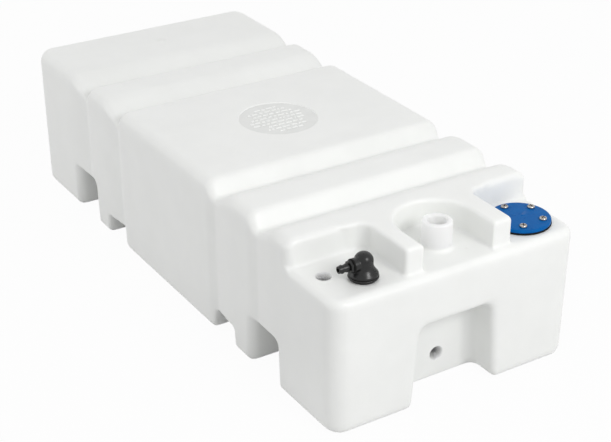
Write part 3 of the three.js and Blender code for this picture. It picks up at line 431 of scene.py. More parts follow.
def dome(radius, height):
    """A spherical cap standing on the plane through the origin, with a short root below it."""
    sphere = (radius ** 2 + height ** 2) / (2 * height)
    sweep = math.asin(radius / sphere)
    outline = [(0, -height), (radius, -height)]
    for step in range(ARC_STEPS + 1):
        angle = sweep * (1 - step / ARC_STEPS)
        outline.append((sphere * math.sin(angle), height - sphere * (1 - math.cos(angle))))
    return turned(outline, facets=SMALL_ROUND)


def combine(piece, tool, how):
    """Cuts, joins or intersects piece with tool, and drops the tool."""
    changed(piece, "BOOLEAN", operation=how, solver="MANIFOLD", object=tool)
    bpy.data.objects.remove(tool)


def cut(piece, *tools):
    for tool in tools:
        combine(piece, tool, "DIFFERENCE")
    return piece


def join(piece, *tools):
    for tool in tools:
        combine(piece, tool, "UNION")
    return piece


def evened(piece, voxel):
    """Meshes the piece again with faces of one size."""
    return changed(piece, "REMESH", mode="VOXEL", voxel_size=voxel)


def thinned(piece, kept_share):
    """Drops faces where the surface is flat."""
    return changed(piece, "DECIMATE", ratio=kept_share)


def softened(piece, rounds, weight_of=None):
    """Rounds edges by moving each point half way to the mean of its neighbours, some rounds over.

    weight_of gives each point's share of the move from its place and the round's number.
    """
    mesh = piece.data
    count = len(mesh.vertices)
    place = np.empty(count * 3)
    mesh.vertices.foreach_get("co", place)
    place = place.reshape(-1, 3)
    ends = np.empty(len(mesh.edges) * 2, int)
    mesh.edges.foreach_get("vertices", ends)
    first, second = ends.reshape(-1, 2).T
    neighbours = np.bincount(first, minlength=count) + np.bincount(second, minlength=count)
    for step in range(rounds):
        weight = 1.0 if weight_of is None else weight_of(place, step)[:, None]
        total = np.stack([np.bincount(first, place[second, k], count)
                          + np.bincount(second, place[first, k], count) for k in range(3)], 1)
        place += weight * (total / neighbours[:, None] - place) / 2
    mesh.vertices.foreach_set("co", place.ravel())
    mesh.update()
    return piece


def dress(piece, name, body, finish, node, crease_deg=CREASE_DEG):
    """Names, shades and finishes the piece, and rides it on its body in place of the node."""
    mesh = piece.data
    piece.name = name
    mesh.name = name
    mesh.polygons.foreach_set("use_smooth", [True] * len(mesh.polygons))
    mesh.set_sharp_from_angle(angle=math.radians(crease_deg))
    mesh.materials.clear()
    mesh.materials.append(finish)
    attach(piece, body)
    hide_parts(node)


# Colour and nodes

def linear(hex_colour):
    channels = []
    for i in (1, 3, 5):
        value = int(hex_colour[i:i + 2], 16) / 255
        channels.append(value / 12.92 if value <= 0.04045 else ((value + 0.055) / 1.055) ** 2.4)
    return (*channels, 1.0)


def add_node(tree, kind, settings=None, inputs=None):
    """Adds a node, sets its properties and its inputs; an input that is a socket is linked."""
    node = tree.nodes.new(kind)
    for key, value in (settings or {}).items():
        setattr(node, key, value)
    for key, value in (inputs or {}).items():
        if isinstance(value, bpy.types.NodeSocket):
            tree.links.new(value, node.inputs[key])
        else:
            node.inputs[key].default_value = value
    return node


def new_material(name):
    material = bpy.data.materials.new(name)
    material.use_nodes = True
    material.node_tree.nodes.clear()
    return material, material.node_tree


# Detail is how many finer layers a noise has. Noise keeps to the middle of its range, so that part
# is stretched to the full contrast.
PATCH_DETAIL = 3.0
PATCH_ROUGHNESS = 0.55
PATCH_SPAN = (0.35, 0.65)
GRAIN_DETAIL = 2.0
WAVE_DETAIL = 1.0
CLOUD_SPAN = (0.3, 0.7)


def mottled(tree, place, size, colours):
    """A colour that wanders between two hex values in patches of the given size."""
    patches = add_node(tree, "ShaderNodeTexNoise", inputs={
        "Vector": place, "Scale": 1 / size, "Detail": PATCH_DETAIL, "Roughness": PATCH_ROUGHNESS})
    ramp = add_node(tree, "ShaderNodeValToRGB", inputs={"Fac": patches.outputs["Fac"]})
    for stop, position, colour in zip(ramp.color_ramp.elements, PATCH_SPAN, colours):
        stop.position = position
        stop.color = linear(colour)
    return ramp.outputs["Color"]


def grained(tree, place, size, depth, detail=GRAIN_DETAIL, normal=None):
    """A surface raised and sunk by grain of a real size and depth."""
    pattern = add_node(tree, "ShaderNodeTexNoise", inputs={
        "Vector": place, "Scale": 1 / size, "Detail": detail})
    inputs = {"Height": pattern.outputs["Fac"], "Distance": depth, "Strength": 1.0}
    if normal is not None:
        inputs["Normal"] = normal
    return add_node(tree, "ShaderNodeBump", inputs=inputs).outputs["Normal"]


def clouded(tree, place, size, low, high):
    """A roughness that wanders between two values in patches of the given size."""
    patches = add_node(tree, "ShaderNodeTexNoise", inputs={
        "Vector": place, "Scale": 1 / size, "Detail": GRAIN_DETAIL})
    span = add_node(tree, "ShaderNodeMapRange", inputs={
        "Value": patches.outputs["Fac"], "From Min": CLOUD_SPAN[0], "From Max": CLOUD_SPAN[1],
        "To Min": low, "To Max": high})
    return span.outputs["Result"]


def surfaced(name, colours, patch, grain, rough, sockets, wave=None):
    """A solid finish: colour and roughness that wander in patches, grain, and if given a long wave.

    grain and wave are a size and a depth in metres. sockets are set on the shader as they are.
    """
    material, tree = new_material(name)
    place = add_node(tree, "ShaderNodeTexCoord").outputs["Object"]
    normal = grained(tree, place, *grain)
    if wave is not None:
        normal = grained(tree, place, *wave, WAVE_DETAIL, normal)
    shader = add_node(tree, "ShaderNodeBsdfPrincipled", inputs={
        "Base Color": mottled(tree, place, patch, colours), "Normal": normal,
        "Roughness": clouded(tree, place, patch, *rough), **sockets})
    add_node(tree, "ShaderNodeOutputMaterial", inputs={"Surface": shader.outputs[0]})
    return material


# Natural polyethylene, rotationally moulded: powder melts against the mould, which leaves a milky,
# waxy skin with a faint orange peel and a slow waviness, and light soaks a little into the wall
POLYETHYLENE = surfaced(
    "rotomoulded_natural_polyethylene", ("#F1F2F0", "#F4F5F3"), patch=0.060, grain=(0.004, 0.00003),
    rough=(0.34, 0.42), wave=(0.050, 0.00008), sockets={
        "IOR": 1.51, "Subsurface Weight": 0.3, "Subsurface Scale": 0.004,
        "Subsurface Radius": (1.0, 1.0, 0.96)})

# The same polyethylene where it is thick, in the spigot and round the bores: light that soaks in comes
# out again further on and lightens the shaded side, and its colour is also painted lighter than the rest
# of the shell, as painted light in these shaded places
THICK_POLYETHYLENE_PAINTED_LIGHTER = surfaced(
    "polyethylene_where_thick_painted_lighter", ("#F5F6F4", "#F8F9F7"), patch=0.060,
    grain=(0.004, 0.00003), rough=(0.34, 0.42), sockets={
        "IOR": 1.51, "Subsurface Weight": 1.0, "Subsurface Scale": 0.020,
        "Subsurface Radius": (1.0, 1.0, 0.96)})

# The same polyethylene on the floor of the round plate recess: a shade greyer and glossier
GREYER_PLATE_FLOOR = surfaced(
    "polyethylene_greyer_on_the_plate_floor", ("#E4E5E3", "#E8E9E7"), patch=0.020,
    grain=(0.004, 0.00002), rough=(0.30, 0.38), sockets={"IOR": 1.51})

# Polypropylene, injection moulded in blue: even colour, a soft gloss, a very fine spark grain and
# a slight sink over the thick middle
POLYPROPYLENE = surfaced(
    "moulded_blue_polypropylene", ("#065CA4", "#0A62AA"), patch=0.010, grain=(0.0009, 0.00002),
    rough=(0.26, 0.36), wave=(0.018, 0.00015), sockets={"IOR": 1.49, "Specular IOR Level": 0.05})

# Glass-filled nylon, moulded in black: a satin skin whose gloss is cloudy where the glass rises
NYLON = surfaced(
    "moulded_black_nylon", ("#090909", "#121313"), patch=0.004, grain=(0.0007, 0.00001),
    rough=(0.26, 0.36), sockets={"IOR": 1.53, "Specular IOR Level": 0.40})

# Sheet rubber, cut: dull black with a faint bloom
RUBBER = surfaced(
    "cut_black_rubber", ("#0F0F0F", "#1C1C1B"), patch=0.003, grain=(0.0008, 0.00006),
    rough=(0.70, 0.84), sockets={"IOR": 1.52, "Specular IOR Level": 0.2})

# Stainless steel, cold headed: bright, with fine die marks
STAINLESS = surfaced(
    "cold_headed_stainless_steel", ("#A5A19C", "#BFBBB6"), patch=0.002, grain=(0.0004, 0.00001),
    rough=(0.18, 0.28), sockets={"Metallic": 1.0})

# The same steel inside the driver recess, painted dark brown: painted shade, and a painted dim brown
# reflection
PAINTED_RECESS_SHADE = surfaced(
    "steel_painted_dark_in_the_recess", ("#3B2A26", "#5A443C"), patch=0.001, grain=(0.0003, 0.00002),
    rough=(0.50, 0.65), sockets={"Metallic": 0.6})

# Brass, turned: warm metal with fine lathe lines
BRASS = surfaced(
    "turned_brass", ("#A8883F", "#BD9C52"), patch=0.002, grain=(0.0003, 0.00001),
    rough=(0.28, 0.38), sockets={"Metallic": 1.0})

# Spring steel strip: grey metal with a slight haze
SPRING = surfaced(
    "spring_steel_strip", ("#7D7D80", "#98989B"), patch=0.002, grain=(0.0005, 0.00001),
    rough=(0.28, 0.38), sockets={"Metallic": 1.0})


# Places taken from the frame

def middle(low_high):
    low, high = low_high
    return (Vector(low) + Vector(high)) / 2


def at_level(place, level):
    return Vector((place.x, place.y, level))


OPENINGS = {box["name"]: box["box_m"] for box in frame["record"]["physics"]["openings"]}
OUTLET_MIDDLE = middle(OPENINGS["outlet_bore"])
OUTLET = Vector((OUTLET_MIDDLE.x, NOTCH_BACK_Y, OUTLET_MIDDLE.z))
OUTLET_TURN = Matrix.Translation(OUTLET) @ Matrix.Rotation(math.pi / 2, 4, "X")
SPIGOT_AXIS = at_level(middle(OPENINGS["filler_bore"]), 0)
SPARE_PORT = at_level(middle(OPENINGS["spare_port_bore"]), SHELF_LEVEL)
COVER_AXIS = at_level(middle(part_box("inspection_cover")), 0)
VENT_AXIS = at_level(middle(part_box("vent_base")), 0)
SCREW_PLACES = [at_level(middle(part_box(f"cover_screw_{i + 1}")), 0) for i in range(SCREW_COUNT)]


# Shell of the tank. With a wall of nothing each form is the outer skin, and with the wall's
# thickness it is the same skin moved into the plastic, which bounds the hollow.

def groove_profile(wall, steps):
    """Drop of the top along Y for one half of the shell, from the middle outwards."""
    wall_slope = math.atan2(GROOVE_DEPTH_TOP, GROOVE_WALL_RUN)
    ramp_slope = math.atan2(GROOVE_DEPTH_TOP, GROOVE_RAMP_RUN)
    wall_shift = wall * math.tan(wall_slope / 2)
    ramp_shift = wall * math.tan(ramp_slope / 2)
    root_drop = (wall_shift + ramp_shift) / (1 / math.tan(wall_slope) + 1 / math.tan(ramp_slope))
    root_shift = root_drop / math.tan(wall_slope) - wall_shift
    corners = [(0, 0)]
    for edge in (MIDDLE_BLOCK_HALF, OUTER_BLOCK_HALF):
        root = edge + GROOVE_WALL_RUN
        corners += [
            (edge - wall_shift, 0, max(GROOVE_LIP_RADIUS - wall, WALL)),
            (root + root_shift, GROOVE_DEPTH_TOP + root_drop, GROOVE_ROOT_RADIUS + wall),
            (root + GROOVE_RAMP_RUN + ramp_shift, 0, GROOVE_RAMP_RADIUS)]
    corners.append((LENGTH / 2, 0))
    return tuple(zip(*round_path(corners, steps)))


def shelf_profile(wall, steps):
    """Drop of the top along Y at the front, where it steps down to the shelf."""
    back = SHELF_BACK + wall
    return tuple(zip(*round_path([
        (FRONT_Y, SHELF_DROP),
        (back - SHELF_BACK_LEAN, SHELF_DROP, SHELF_ROOT_RADIUS + wall),
        (back, 0, max(SHELF_LIP_RADIUS - wall, SHELF_EDGE_RADIUS - SHELF_LIP_RADIUS)),
        (SHELF_BACK + OUTER_BLOCK_HALF, 0)], steps)))


def edge_inset(radius, distance):
    """How far an edge of the radius lies in, at a distance from the end face."""
    if distance >= radius:
        return 0
    return radius - math.sqrt(radius ** 2 - (radius - distance) ** 2)


def body_ring(y, half_width, top, bottom, top_radius, bottom_radius, steps):
    """One ring round the shell, with rounded corners and sides that lean in towards the bottom."""
    ring = []
    for side, centre_z, radius, start in (
            (1, bottom + bottom_radius, bottom_radius, -math.pi / 2),
            (1, top - top_radius, top_radius, 0),
            (-1, top - top_radius, top_radius, math.pi / 2),
            (-1, bottom + bottom_radius, bottom_radius, math.pi)):
        for angle in quarter_turn(steps):
            z = centre_z + radius * math.sin(start + angle)
            lean = BOTTOM_DRAFT * (1 - z / HEIGHT)
            x = side * (half_width - radius - lean) + radius * math.cos(start + angle)
            ring.append((x, y, z))
    return ring


def body_stations(wall, steps, grooves, shelf):
    """Places along Y where the shell has a ring."""
    end_y = LENGTH / 2 - wall
    stations = {0.0}
    for u in grooves[0]:
        if u < end_y - BACK_CORNER_RADIUS:
            stations.update((u, -u))
    stations.update(u for u in shelf[0] if FRONT_CORNER_RADIUS - end_y < u < 0)
    for sign, plan, top in ((-1, FRONT_CORNER_RADIUS, SHELF_EDGE_RADIUS),
                            (1, BACK_CORNER_RADIUS, TOP_EDGE_RADIUS)):
        for radius in (plan, top, BOTTOM_EDGE_RADIUS):
            for step in edge_steps(max(radius - wall, WALL), steps):
                stations.add(sign * (end_y - step[0]))
    return sorted(stations)


def body_shell(wall, steps):
    grooves = groove_profile(wall, steps)
    shelf = shelf_profile(wall, steps)
    rings = []
    for y in body_stations(wall, steps, grooves, shelf):
        if rings and y - rings[-1][0][1] < RING_GAP:
            continue
        plan, top = (FRONT_CORNER_RADIUS, SHELF_EDGE_RADIUS) if y < 0 else (
            BACK_CORNER_RADIUS, TOP_EDGE_RADIUS)
        to_end = LENGTH / 2 - wall - abs(y)
        share = np.interp(abs(y), *grooves) / GROOVE_DEPTH_TOP
        shelf_drop = np.interp(y, *shelf) if y < 0 else 0
        top_inset = edge_inset(max(top - wall, WALL), to_end)
        bottom_radius = max(BOTTOM_EDGE_RADIUS - wall, WALL)
        bottom_inset = edge_inset(bottom_radius, to_end)
        block_edge = TOP_EDGE_RADIUS + (GROOVE_EDGE_RADIUS - TOP_EDGE_RADIUS) * min(share, 1)
        edge = block_edge + (SHELF_EDGE_RADIUS - block_edge) * shelf_drop / SHELF_DROP - wall
        rings.append(body_ring(
            y,
            WIDTH / 2 - wall - GROOVE_DEPTH_SIDE * share - edge_inset(max(plan - wall, WALL), to_end),
            HEIGHT - wall - GROOVE_DEPTH_TOP * share - shelf_drop - top_inset,
            wall + bottom_inset,
            max(edge - top_inset / 2, WALL / 2),
            max(bottom_radius - bottom_inset / 2, WALL / 2),
            steps))
    return skin_over(rings)


def across(mouth_radius, wall, steps):
    """Places across the width for a form with rounded mouths in the sides, with its growth there."""
    half = [(WIDTH / 2 - wall - short, wall + growth)
            for short, growth in edge_steps(mouth_radius - wall, steps)]
    half.append((WIDTH / 2 + OVERRUN, mouth_radius))
    return [(-x, growth) for x, growth in reversed(half)] + half


def arch(near, far, top, corner, lean, near_foot, far_foot, wall, steps):
    """Outline of a space under the shell, with leaning sides, rounded feet and rounded corners."""
    near_foot -= wall
    far_foot -= wall
    return round_path([
        (near - near_foot, -OVERRUN), (near - near_foot, wall), (near, wall, near_foot),
        (near + lean, top, corner), (far - lean, top, corner),
        (far, wall, far_foot), (far + far_foot, wall), (far + far_foot, -OVERRUN)], steps)


def passage(sign, wall, steps, inner, outer, height, corner_radius, mouth_radius, inner_foot_radius,
            widens_all_round):
    """The space of a tunnel or a slot under the shell."""
    rings = []
    for x, growth in across(mouth_radius, wall, steps):
        rise = growth if widens_all_round else wall
        outline = arch(inner - rise, outer + growth, height + rise, corner_radius + rise, PASSAGE_LEAN,
                       inner_foot_radius, FOOT_EDGE_RADIUS, wall, steps)
        rings.append([(x, sign * y, z) for y, z in outline])
    return skin_over(rings)


def recess(wall, steps):
    """The U-shaped space round the filler spigot, flared at its lip, open to the front."""
    levels = [(RECESS_FLOOR - wall, 0)]
    levels += [(HEIGHT - short, flare) for short, flare in edge_steps(RECESS_LIP, steps)]
    levels.append((HEIGHT + OVERRUN, RECESS_LIP))
    rings = []
    for z, flare in levels:
        radius = RECESS_RADIUS + wall + flare
        back = SPIGOT_AXIS.y + radius
        outline = round_path([(radius, FRONT_Y - OVERRUN), (radius, back, radius),
                              (-radius, back, radius), (-radius, FRONT_Y - OVERRUN)], steps * 2)
        rings.append([(RECESS_X + x, y, z) for x, y in outline])
    return skin_over(rings)


def platform(steps):
    """The raised platform whose two arms stand beside the recess, with rounded top edges."""
    back = SHELF_BACK + SHELF_LIP_RADIUS
    root = SHELF_BACK - SHELF_BACK_LEAN
    levels = [(SHELF_LEVEL - WALL, 0)]
    levels += [(HEIGHT - short, inset) for short, inset in edge_steps(PLATFORM_EDGE_RADIUS, steps)]
    rings = []
    for z, inset in levels:
        half = PLATFORM_HALF - inset
        side = round_path([
            (0, PLATFORM_FRONT + inset), (half, PLATFORM_FRONT + inset, PLATFORM_EDGE_RADIUS),
            (half, root + inset, PLATFORM_FLARE + inset), (half + PLATFORM_FLARE_RUN, root + inset)],
            steps)
        side += [(half + PLATFORM_BACK_RUN, back), (0, back)]
        mirrored = [(-x, y) for x, y in reversed(side[1:-1])]
        rings.append([(PLATFORM_X + x, y, z) for x, y in side + mirrored])
    return skin_over(rings)


def notch(wall, steps):
    """The space at the foot of the front face, rounded at its back and on the outside at its mouth."""
    stations = [(NOTCH_BACK_Y + wall - inset, -short)
                for short, inset in edge_steps(NOTCH_ROOT_RADIUS + wall, steps)]
    if wall == 0:
        stations += [(FRONT_Y + short, flare) for short, flare in edge_steps(NOTCH_MOUTH_RADIUS, steps)]
    stations.append((FRONT_Y - OVERRUN, stations[-1][1]))
    rings = []
    for y, flare in stations:
        half = NOTCH_HALF + wall + flare
        top = NOTCH_HEIGHT + wall + flare
        outline = arch(-half, half, top, NOTCH_EDGE_RADIUS + wall, NOTCH_TOP_TAPER * top / NOTCH_HEIGHT,
                       NOTCH_FOOT_RADIUS, NOTCH_FOOT_RADIUS, wall, steps)
        rings.append([(NOTCH_X + x, y, z) for x, z in outline])
    return skin_over(rings)


def strip_corner(side, steps):
    """What comes off the upright corner beside the shelf, to round it in plan."""
    inner = RIGHT_X - SHELF_CORNER_RADIUS
    front = SHELF_BACK - SHELF_BACK_LEAN
    back = front + SHELF_CORNER_RADIUS
    outline = round_path([
        (RIGHT_X + OVERRUN, front - OVERRUN), (inner, front - OVERRUN), (inner, front),
        (RIGHT_X, front, SHELF_CORNER_RADIUS), (RIGHT_X, back), (RIGHT_X + OVERRUN, back)], steps)
    return skin_over([[(side * x, y, z) for x, y in outline] for z in (SHELF_LEVEL, HEIGHT + OVERRUN)])


def less_round_the_platform(place, step):
    """Full rounding everywhere for the first rounds, and then none round the spigot's platform."""
    if step < PLATFORM_ROUNDS:
        return np.ones(len(place))
    behind = np.clip((place[:, 1] - PLATFORM_BACK_Y) / PLATFORM_BLEND, 0, 1)
    below = np.clip((SHELF_LEVEL - place[:, 2]) / PLATFORM_BLEND, 0, 1)
    return np.maximum(behind, below)


def less_the_spaces(form, wall, steps):
    """Cuts the tunnels, slots, recess and notch."""
    for side in (-1, 1):
        cut(form, passage(side, wall, steps, **TUNNEL), passage(side, wall, steps, **SLOT))
    return cut(form, recess(wall, steps), notch(wall, steps))


def shell_skin():
    """The outer skin with its edges rounded as powder rounds them."""
    skin = join(body_shell(0, SHELL_STEPS), platform(SHELL_STEPS))
    cut(skin, strip_corner(-1, SHELL_STEPS), strip_corner(1, SHELL_STEPS))
    less_the_spaces(skin, 0, SHELL_STEPS)
    softened(evened(skin, SHELL_VOXEL), SHELL_ROUNDS, less_round_the_platform)
    return thinned(skin, SHELL_KEPT_SHARE)


def hollow():
    """The space inside the wall, with bosses left round the ports and under the cover."""
    space = less_the_spaces(body_shell(WALL, HOLLOW_STEPS), WALL, HOLLOW_STEPS)
    for axis in (SPARE_PORT, VENT_AXIS):
        cut(space, rod(PORT_BOSS_RADIUS, SHELF_LEVEL - PORT_BOSS_DEPTH, SHELF_LEVEL,
                       at_level(axis, 0)))
    cut(space, rod(COVER_BOSS_RADIUS, SHELF_LEVEL - COVER_BOSS_DEPTH, SHELF_LEVEL, COVER_AXIS))
    return cut(space, moved(rod(PORT_BOSS_RADIUS, -PORT_BOSS_DEPTH, 0), OUTLET_TURN))


def spigot():
    foot = SPIGOT_RADIUS + SPIGOT_FOOT_SPREAD
    floor = RECESS_FLOOR - SEAT_GAP
    return turned([
        (0, RECESS_FLOOR - WALL / 2), (foot, RECESS_FLOOR - WALL / 2), (foot, floor),
        (SPIGOT_RADIUS, floor, SPIGOT_FOOT_RADIUS),
        (SPIGOT_TIP_RADIUS, SPIGOT_TOP, SPIGOT_RIM_RADIUS),
        (SPIGOT_BORE_RADIUS, SPIGOT_TOP), (0, SPIGOT_TOP)], SPIGOT_AXIS)


def bore(radius, mouth_radius, depth):
    """A cutter for a bore into the plane through the origin, with a chamfered mouth."""
    chamfer = mouth_radius - radius
    return turned([(0, -depth), (radius, -depth), (radius, -chamfer), (mouth_radius, 0),
                   (mouth_radius, OVERRUN), (0, OVERRUN)], facets=SMALL_ROUND)


def tapped_bore():
    depth = PORT_BOSS_DEPTH + OVERRUN
    thread = threaded_rod(PORT_RADIUS - PORT_THREAD_DEPTH / 2, PORT_THREAD_DEPTH, PORT_THREAD_PITCH,
                          -depth, 0)
    return join(bore(PORT_RADIUS - PORT_THREAD_DEPTH / 2, PORT_MOUTH_RADIUS, depth), thread)


def plate_recess():
    return turned([
        (0, -PLATE_DEPTH), (PLATE_RADIUS - PLATE_DEPTH, -PLATE_DEPTH), (PLATE_RADIUS, 0),
        (PLATE_RADIUS, OVERRUN), (0, OVERRUN)], PLATE_CENTRE, FINE_ROUND * 2)


def dash_rings(start, end, y):
    """Rings of one dash from its root in the plate to its rounded crest."""
    floor = HEIGHT - PLATE_DEPTH
    rings = []
    for z, inset in ((floor - DASH_HEIGHT, 0), (floor + DASH_HEIGHT / 3, 0),
                     (floor + DASH_HEIGHT, DASH_HALF_WIDTH / 2)):
        half = DASH_HALF_WIDTH - inset
        corner = half * DASH_CORNER_SHARE
        outline = round_path([
            (start + inset, y - half, corner), (end - inset, y - half, corner),
            (end - inset, y + half, corner), (start + inset, y + half, corner)], DASH_STEPS)
        rings.append([(PLATE_CENTRE.x + u, PLATE_CENTRE.y + v, z) for u, v in outline])
    return rings


def plate_dashes():
    """Rows of plain raised dashes of uneven length."""
    draw = random.Random(DASH_SEED)
    dashes = []
    rows = int(DASH_FIELD_RADIUS / DASH_ROW_PITCH)
    for row in range(-rows, rows + 1):
        y = row * DASH_ROW_PITCH
        reach = math.sqrt(DASH_FIELD_RADIUS ** 2 - y ** 2)
        x = -reach * draw.uniform(*DASH_START_SHARES)
        while x < reach - DASH_LONGEST:
            end = x + draw.uniform(DASH_SHORTEST, DASH_LONGEST)
            dashes.append(dash_rings(x, end, y))
            x = end + DASH_GAP * draw.uniform(*DASH_GAP_SHARES)
    return skin_over(*dashes)


def insert_outline(gap, top):
    """Outline of an insert with its anchoring groove, grown by a gap for its seat in the boss."""
    highest = SHELF_LEVEL - SEAT_GAP
    lowest = highest - INSERT_LENGTH
    centre = (highest + lowest) / 2
    half = INSERT_LENGTH / 6
    radius = INSERT_RADIUS + gap
    groove = radius - INSERT_GROOVE_DEPTH
    return [(0, lowest - gap), (radius, lowest - gap), (radius, centre - half + gap),
            (groove, centre - half + INSERT_GROOVE_DEPTH), (groove, centre + half - INSERT_GROOVE_DEPTH),
            (radius, centre + half - gap), (radius, top), (0, top)]


def near_axis(place, axis, reach):
    """Whether a place is within reach of the upright axis through a point."""
    return (place - axis).xy.length < reach


def in_a_thick_painted_lighter_section(place):
    """Whether a place is on the spigot or in the bore of a tapped port, where the shell is painted
    lighter.
    """
    if place.z > RECESS_FLOOR + SPIGOT_FOOT_RADIUS and near_axis(place, SPIGOT_AXIS, SPIGOT_RADIUS):
        return True
    if place.z < SHELF_LEVEL - SEAT_GAP and near_axis(place, SPARE_PORT, PORT_MOUTH_RADIUS):
        return place.z > SHELF_LEVEL - PORT_BOSS_DEPTH
    beside = Vector((place.x - OUTLET.x, place.z - OUTLET.z)).length
    return beside < PORT_MOUTH_RADIUS and SEAT_GAP < place.y - OUTLET.y < PORT_BOSS_DEPTH


def moulded_tank():
    tank = shell_skin()
    join(tank, spigot(), placed(dome(NUB_RADIUS, NUB_HEIGHT), NUB_PLACE))
    cut(tank, hollow())
    spigot_mouth = SPIGOT_BORE_RADIUS + SPIGOT_BORE_CHAMFER
    cut(tank, placed(bore(SPIGOT_BORE_RADIUS, spigot_mouth, SHELF_DROP + WALL * 2),
                     at_level(SPIGOT_AXIS, SPIGOT_TOP)))
    cut(tank, placed(tapped_bore(), SPARE_PORT), moved(tapped_bore(), OUTLET_TURN))
    for axis, radius, mouth in ((VENT_AXIS, PORT_RADIUS, PORT_MOUTH_RADIUS),
                                (COVER_AXIS, HAND_HOLE_RADIUS, HAND_HOLE_RADIUS + SEAT_GAP)):
        cut(tank, placed(bore(radius, mouth, PORT_BOSS_DEPTH + OVERRUN), at_level(axis, SHELF_LEVEL)))
    for place in SCREW_PLACES:
        cut(tank, turned(insert_outline(SEAT_GAP, SHELF_LEVEL + OVERRUN), place, SMALL_ROUND))
    cut(tank, plate_recess())
    join(tank, plate_dashes())
    cut(tank, moved(dome(DIMPLE_RADIUS, DIMPLE_DEPTH),
                    Matrix.Translation(DIMPLE_PLACE) @ Matrix.Rotation(math.pi, 4, "X")))
    dress(tank, "moulded_tank", "tank", POLYETHYLENE, "tank_body")
    tank.data.materials.append(GREYER_PLATE_FLOOR)
    tank.data.materials.append(THICK_POLYETHYLENE_PAINTED_LIGHTER)
    for face in tank.data.polygons:
        # The floor of the plate recess takes the greyer, glossier colour and flat shading
        off_the_plate = abs(HEIGHT - PLATE_DEPTH - face.center.z)
        if off_the_plate < FACE_SLACK and near_axis(face.center, PLATE_CENTRE, PLATE_RADIUS):
            face.material_index = 1
            face.use_smooth = False
        # Painted light: the spigot and the bores of the ports take the lighter colour, which brightens
        # their shade
        elif in_a_thick_painted_lighter_section(face.center):
            face.material_index = 2


# Cover, gasket, screws and inserts

def screw_holes(piece):
    for place in SCREW_PLACES:
        cut(piece, rod(SCREW_RADIUS + SCREW_CLEARANCE, SHELF_LEVEL - OVERRUN, HEIGHT, place))
    return piece


def screwed_cover():
    top = COVER_SEAT + COVER_THICKNESS
    below = COVER_SEAT - COVER_SPIGOT_DEPTH
    inside = COVER_SPIGOT_RADIUS - COVER_SPIGOT_WALL
    edge = top - COVER_CROWN
    cover = turned([
        (0, COVER_SEAT), (inside, COVER_SEAT), (inside, below), (COVER_SPIGOT_RADIUS, below),
        (COVER_SPIGOT_RADIUS, COVER_SEAT), (COVER_RADIUS, COVER_SEAT, SEAT_GAP),
        (COVER_RADIUS, edge, COVER_EDGE_RADIUS), (COVER_RADIUS - COVER_THICKNESS, edge + SEAT_GAP),
        (COVER_SPIGOT_RADIUS, top), (0, top)], COVER_AXIS, FINE_ROUND * 2)
    mark = placed(dome(GATE_MARK_RADIUS, GATE_MARK_HEIGHT), at_level(COVER_AXIS + GATE_MARK_OFFSET, top))
    dress(screw_holes(join(cover, mark)), "screwed_cover", "cover", POLYPROPYLENE,
          "inspection_cover")


def cover_seal():
    bottom = SHELF_LEVEL + SEAT_GAP
    top = bottom + GASKET_THICKNESS
    outside = COVER_RADIUS + GASKET_OVERHANG
    seal = turned([
        (HAND_HOLE_RADIUS, bottom), (outside, bottom, GASKET_EDGE_RADIUS),
        (outside, top, GASKET_EDGE_RADIUS), (HAND_HOLE_RADIUS, top)], COVER_AXIS)
    dress(screw_holes(seal), "cover_seal", "cover", RUBBER, "cover_gasket")


def cross_recess(top, turn):
    """Two tapered bars that cut the driver recess of a screw head."""
    tools = []
    for quarter in (0, math.pi / 2):
        rings = []
        for z, share in ((top - SCREW_SLOT_DEPTH, SCREW_SLOT_FLOOR_SHARE),
                         (top + OVERRUN, 1 + OVERRUN / SCREW_SLOT_DEPTH)):
            reach = SCREW_SLOT_REACH * share
            half = SCREW_SLOT_WIDTH / 2
            rings.append([(-reach, -half, z), (reach, -half, z), (reach, half, z), (-reach, half, z)])
        tools.append(moved(skin_over(rings), Matrix.Rotation(turn + quarter, 4, "Z")))
    return tools


def pan_head_screw(index, place):
    seat = COVER_SEAT + COVER_THICKNESS + SEAT_GAP
    top = seat + SCREW_HEAD_HEIGHT
    tip = seat - SCREW_LENGTH
    root = SCREW_RADIUS - SCREW_THREAD_DEPTH
    screw = turned([
        (0, seat - OVERRUN), (root, seat - OVERRUN), (root, seat), (SCREW_HEAD_RADIUS, seat, SEAT_GAP),
        (SCREW_HEAD_RADIUS, top, SCREW_HEAD_ROUND), (SCREW_HEAD_RADIUS / 3, top + SEAT_GAP / 2),
        (0, top + SEAT_GAP / 2)], facets=SMALL_ROUND)
    join(screw, threaded_rod(root, SCREW_THREAD_DEPTH, SCREW_PITCH, tip, seat + SEAT_GAP))
    cut(screw, *cross_recess(top, math.radians(SCREW_TURN_STEP_DEG * index)))
    dress(placed(screw, place), f"pan_head_screw_{index}", "cover", STAINLESS,
          f"cover_screw_{index}")
    screw.data.materials.append(PAINTED_RECESS_SHADE)
    # The faces inside the driver recess take the painted shade and reflection
    for face in screw.data.polygons:
        in_the_slot = top - SCREW_SLOT_DEPTH - FACE_SLACK < face.center.z < top - SEAT_GAP
        face.material_index = int(in_the_slot and near_axis(face.center, place, SCREW_SLOT_REACH))


def threaded_insert(index, place):
    top = SHELF_LEVEL - SEAT_GAP
    insert = turned(insert_outline(0, top), facets=SMALL_ROUND)
    floor = top - INSERT_LENGTH + INSERT_FLOOR
    cut(insert, rod(SCREW_RADIUS + SCREW_CLEARANCE, floor, top + OVERRUN))
    dress(placed(insert, place), f"threaded_insert_{index}", "tank", BRASS,
          f"cover_insert_{index}")


# Vent fitting, each piece turned about the vent's axis

def flat_ring(inner, outer, bottom, top):
    edge = (top - bottom) * RING_EDGE_SHARE
    return turned([(inner, bottom), (outer, bottom, edge), (outer, top, edge), (inner, top)])


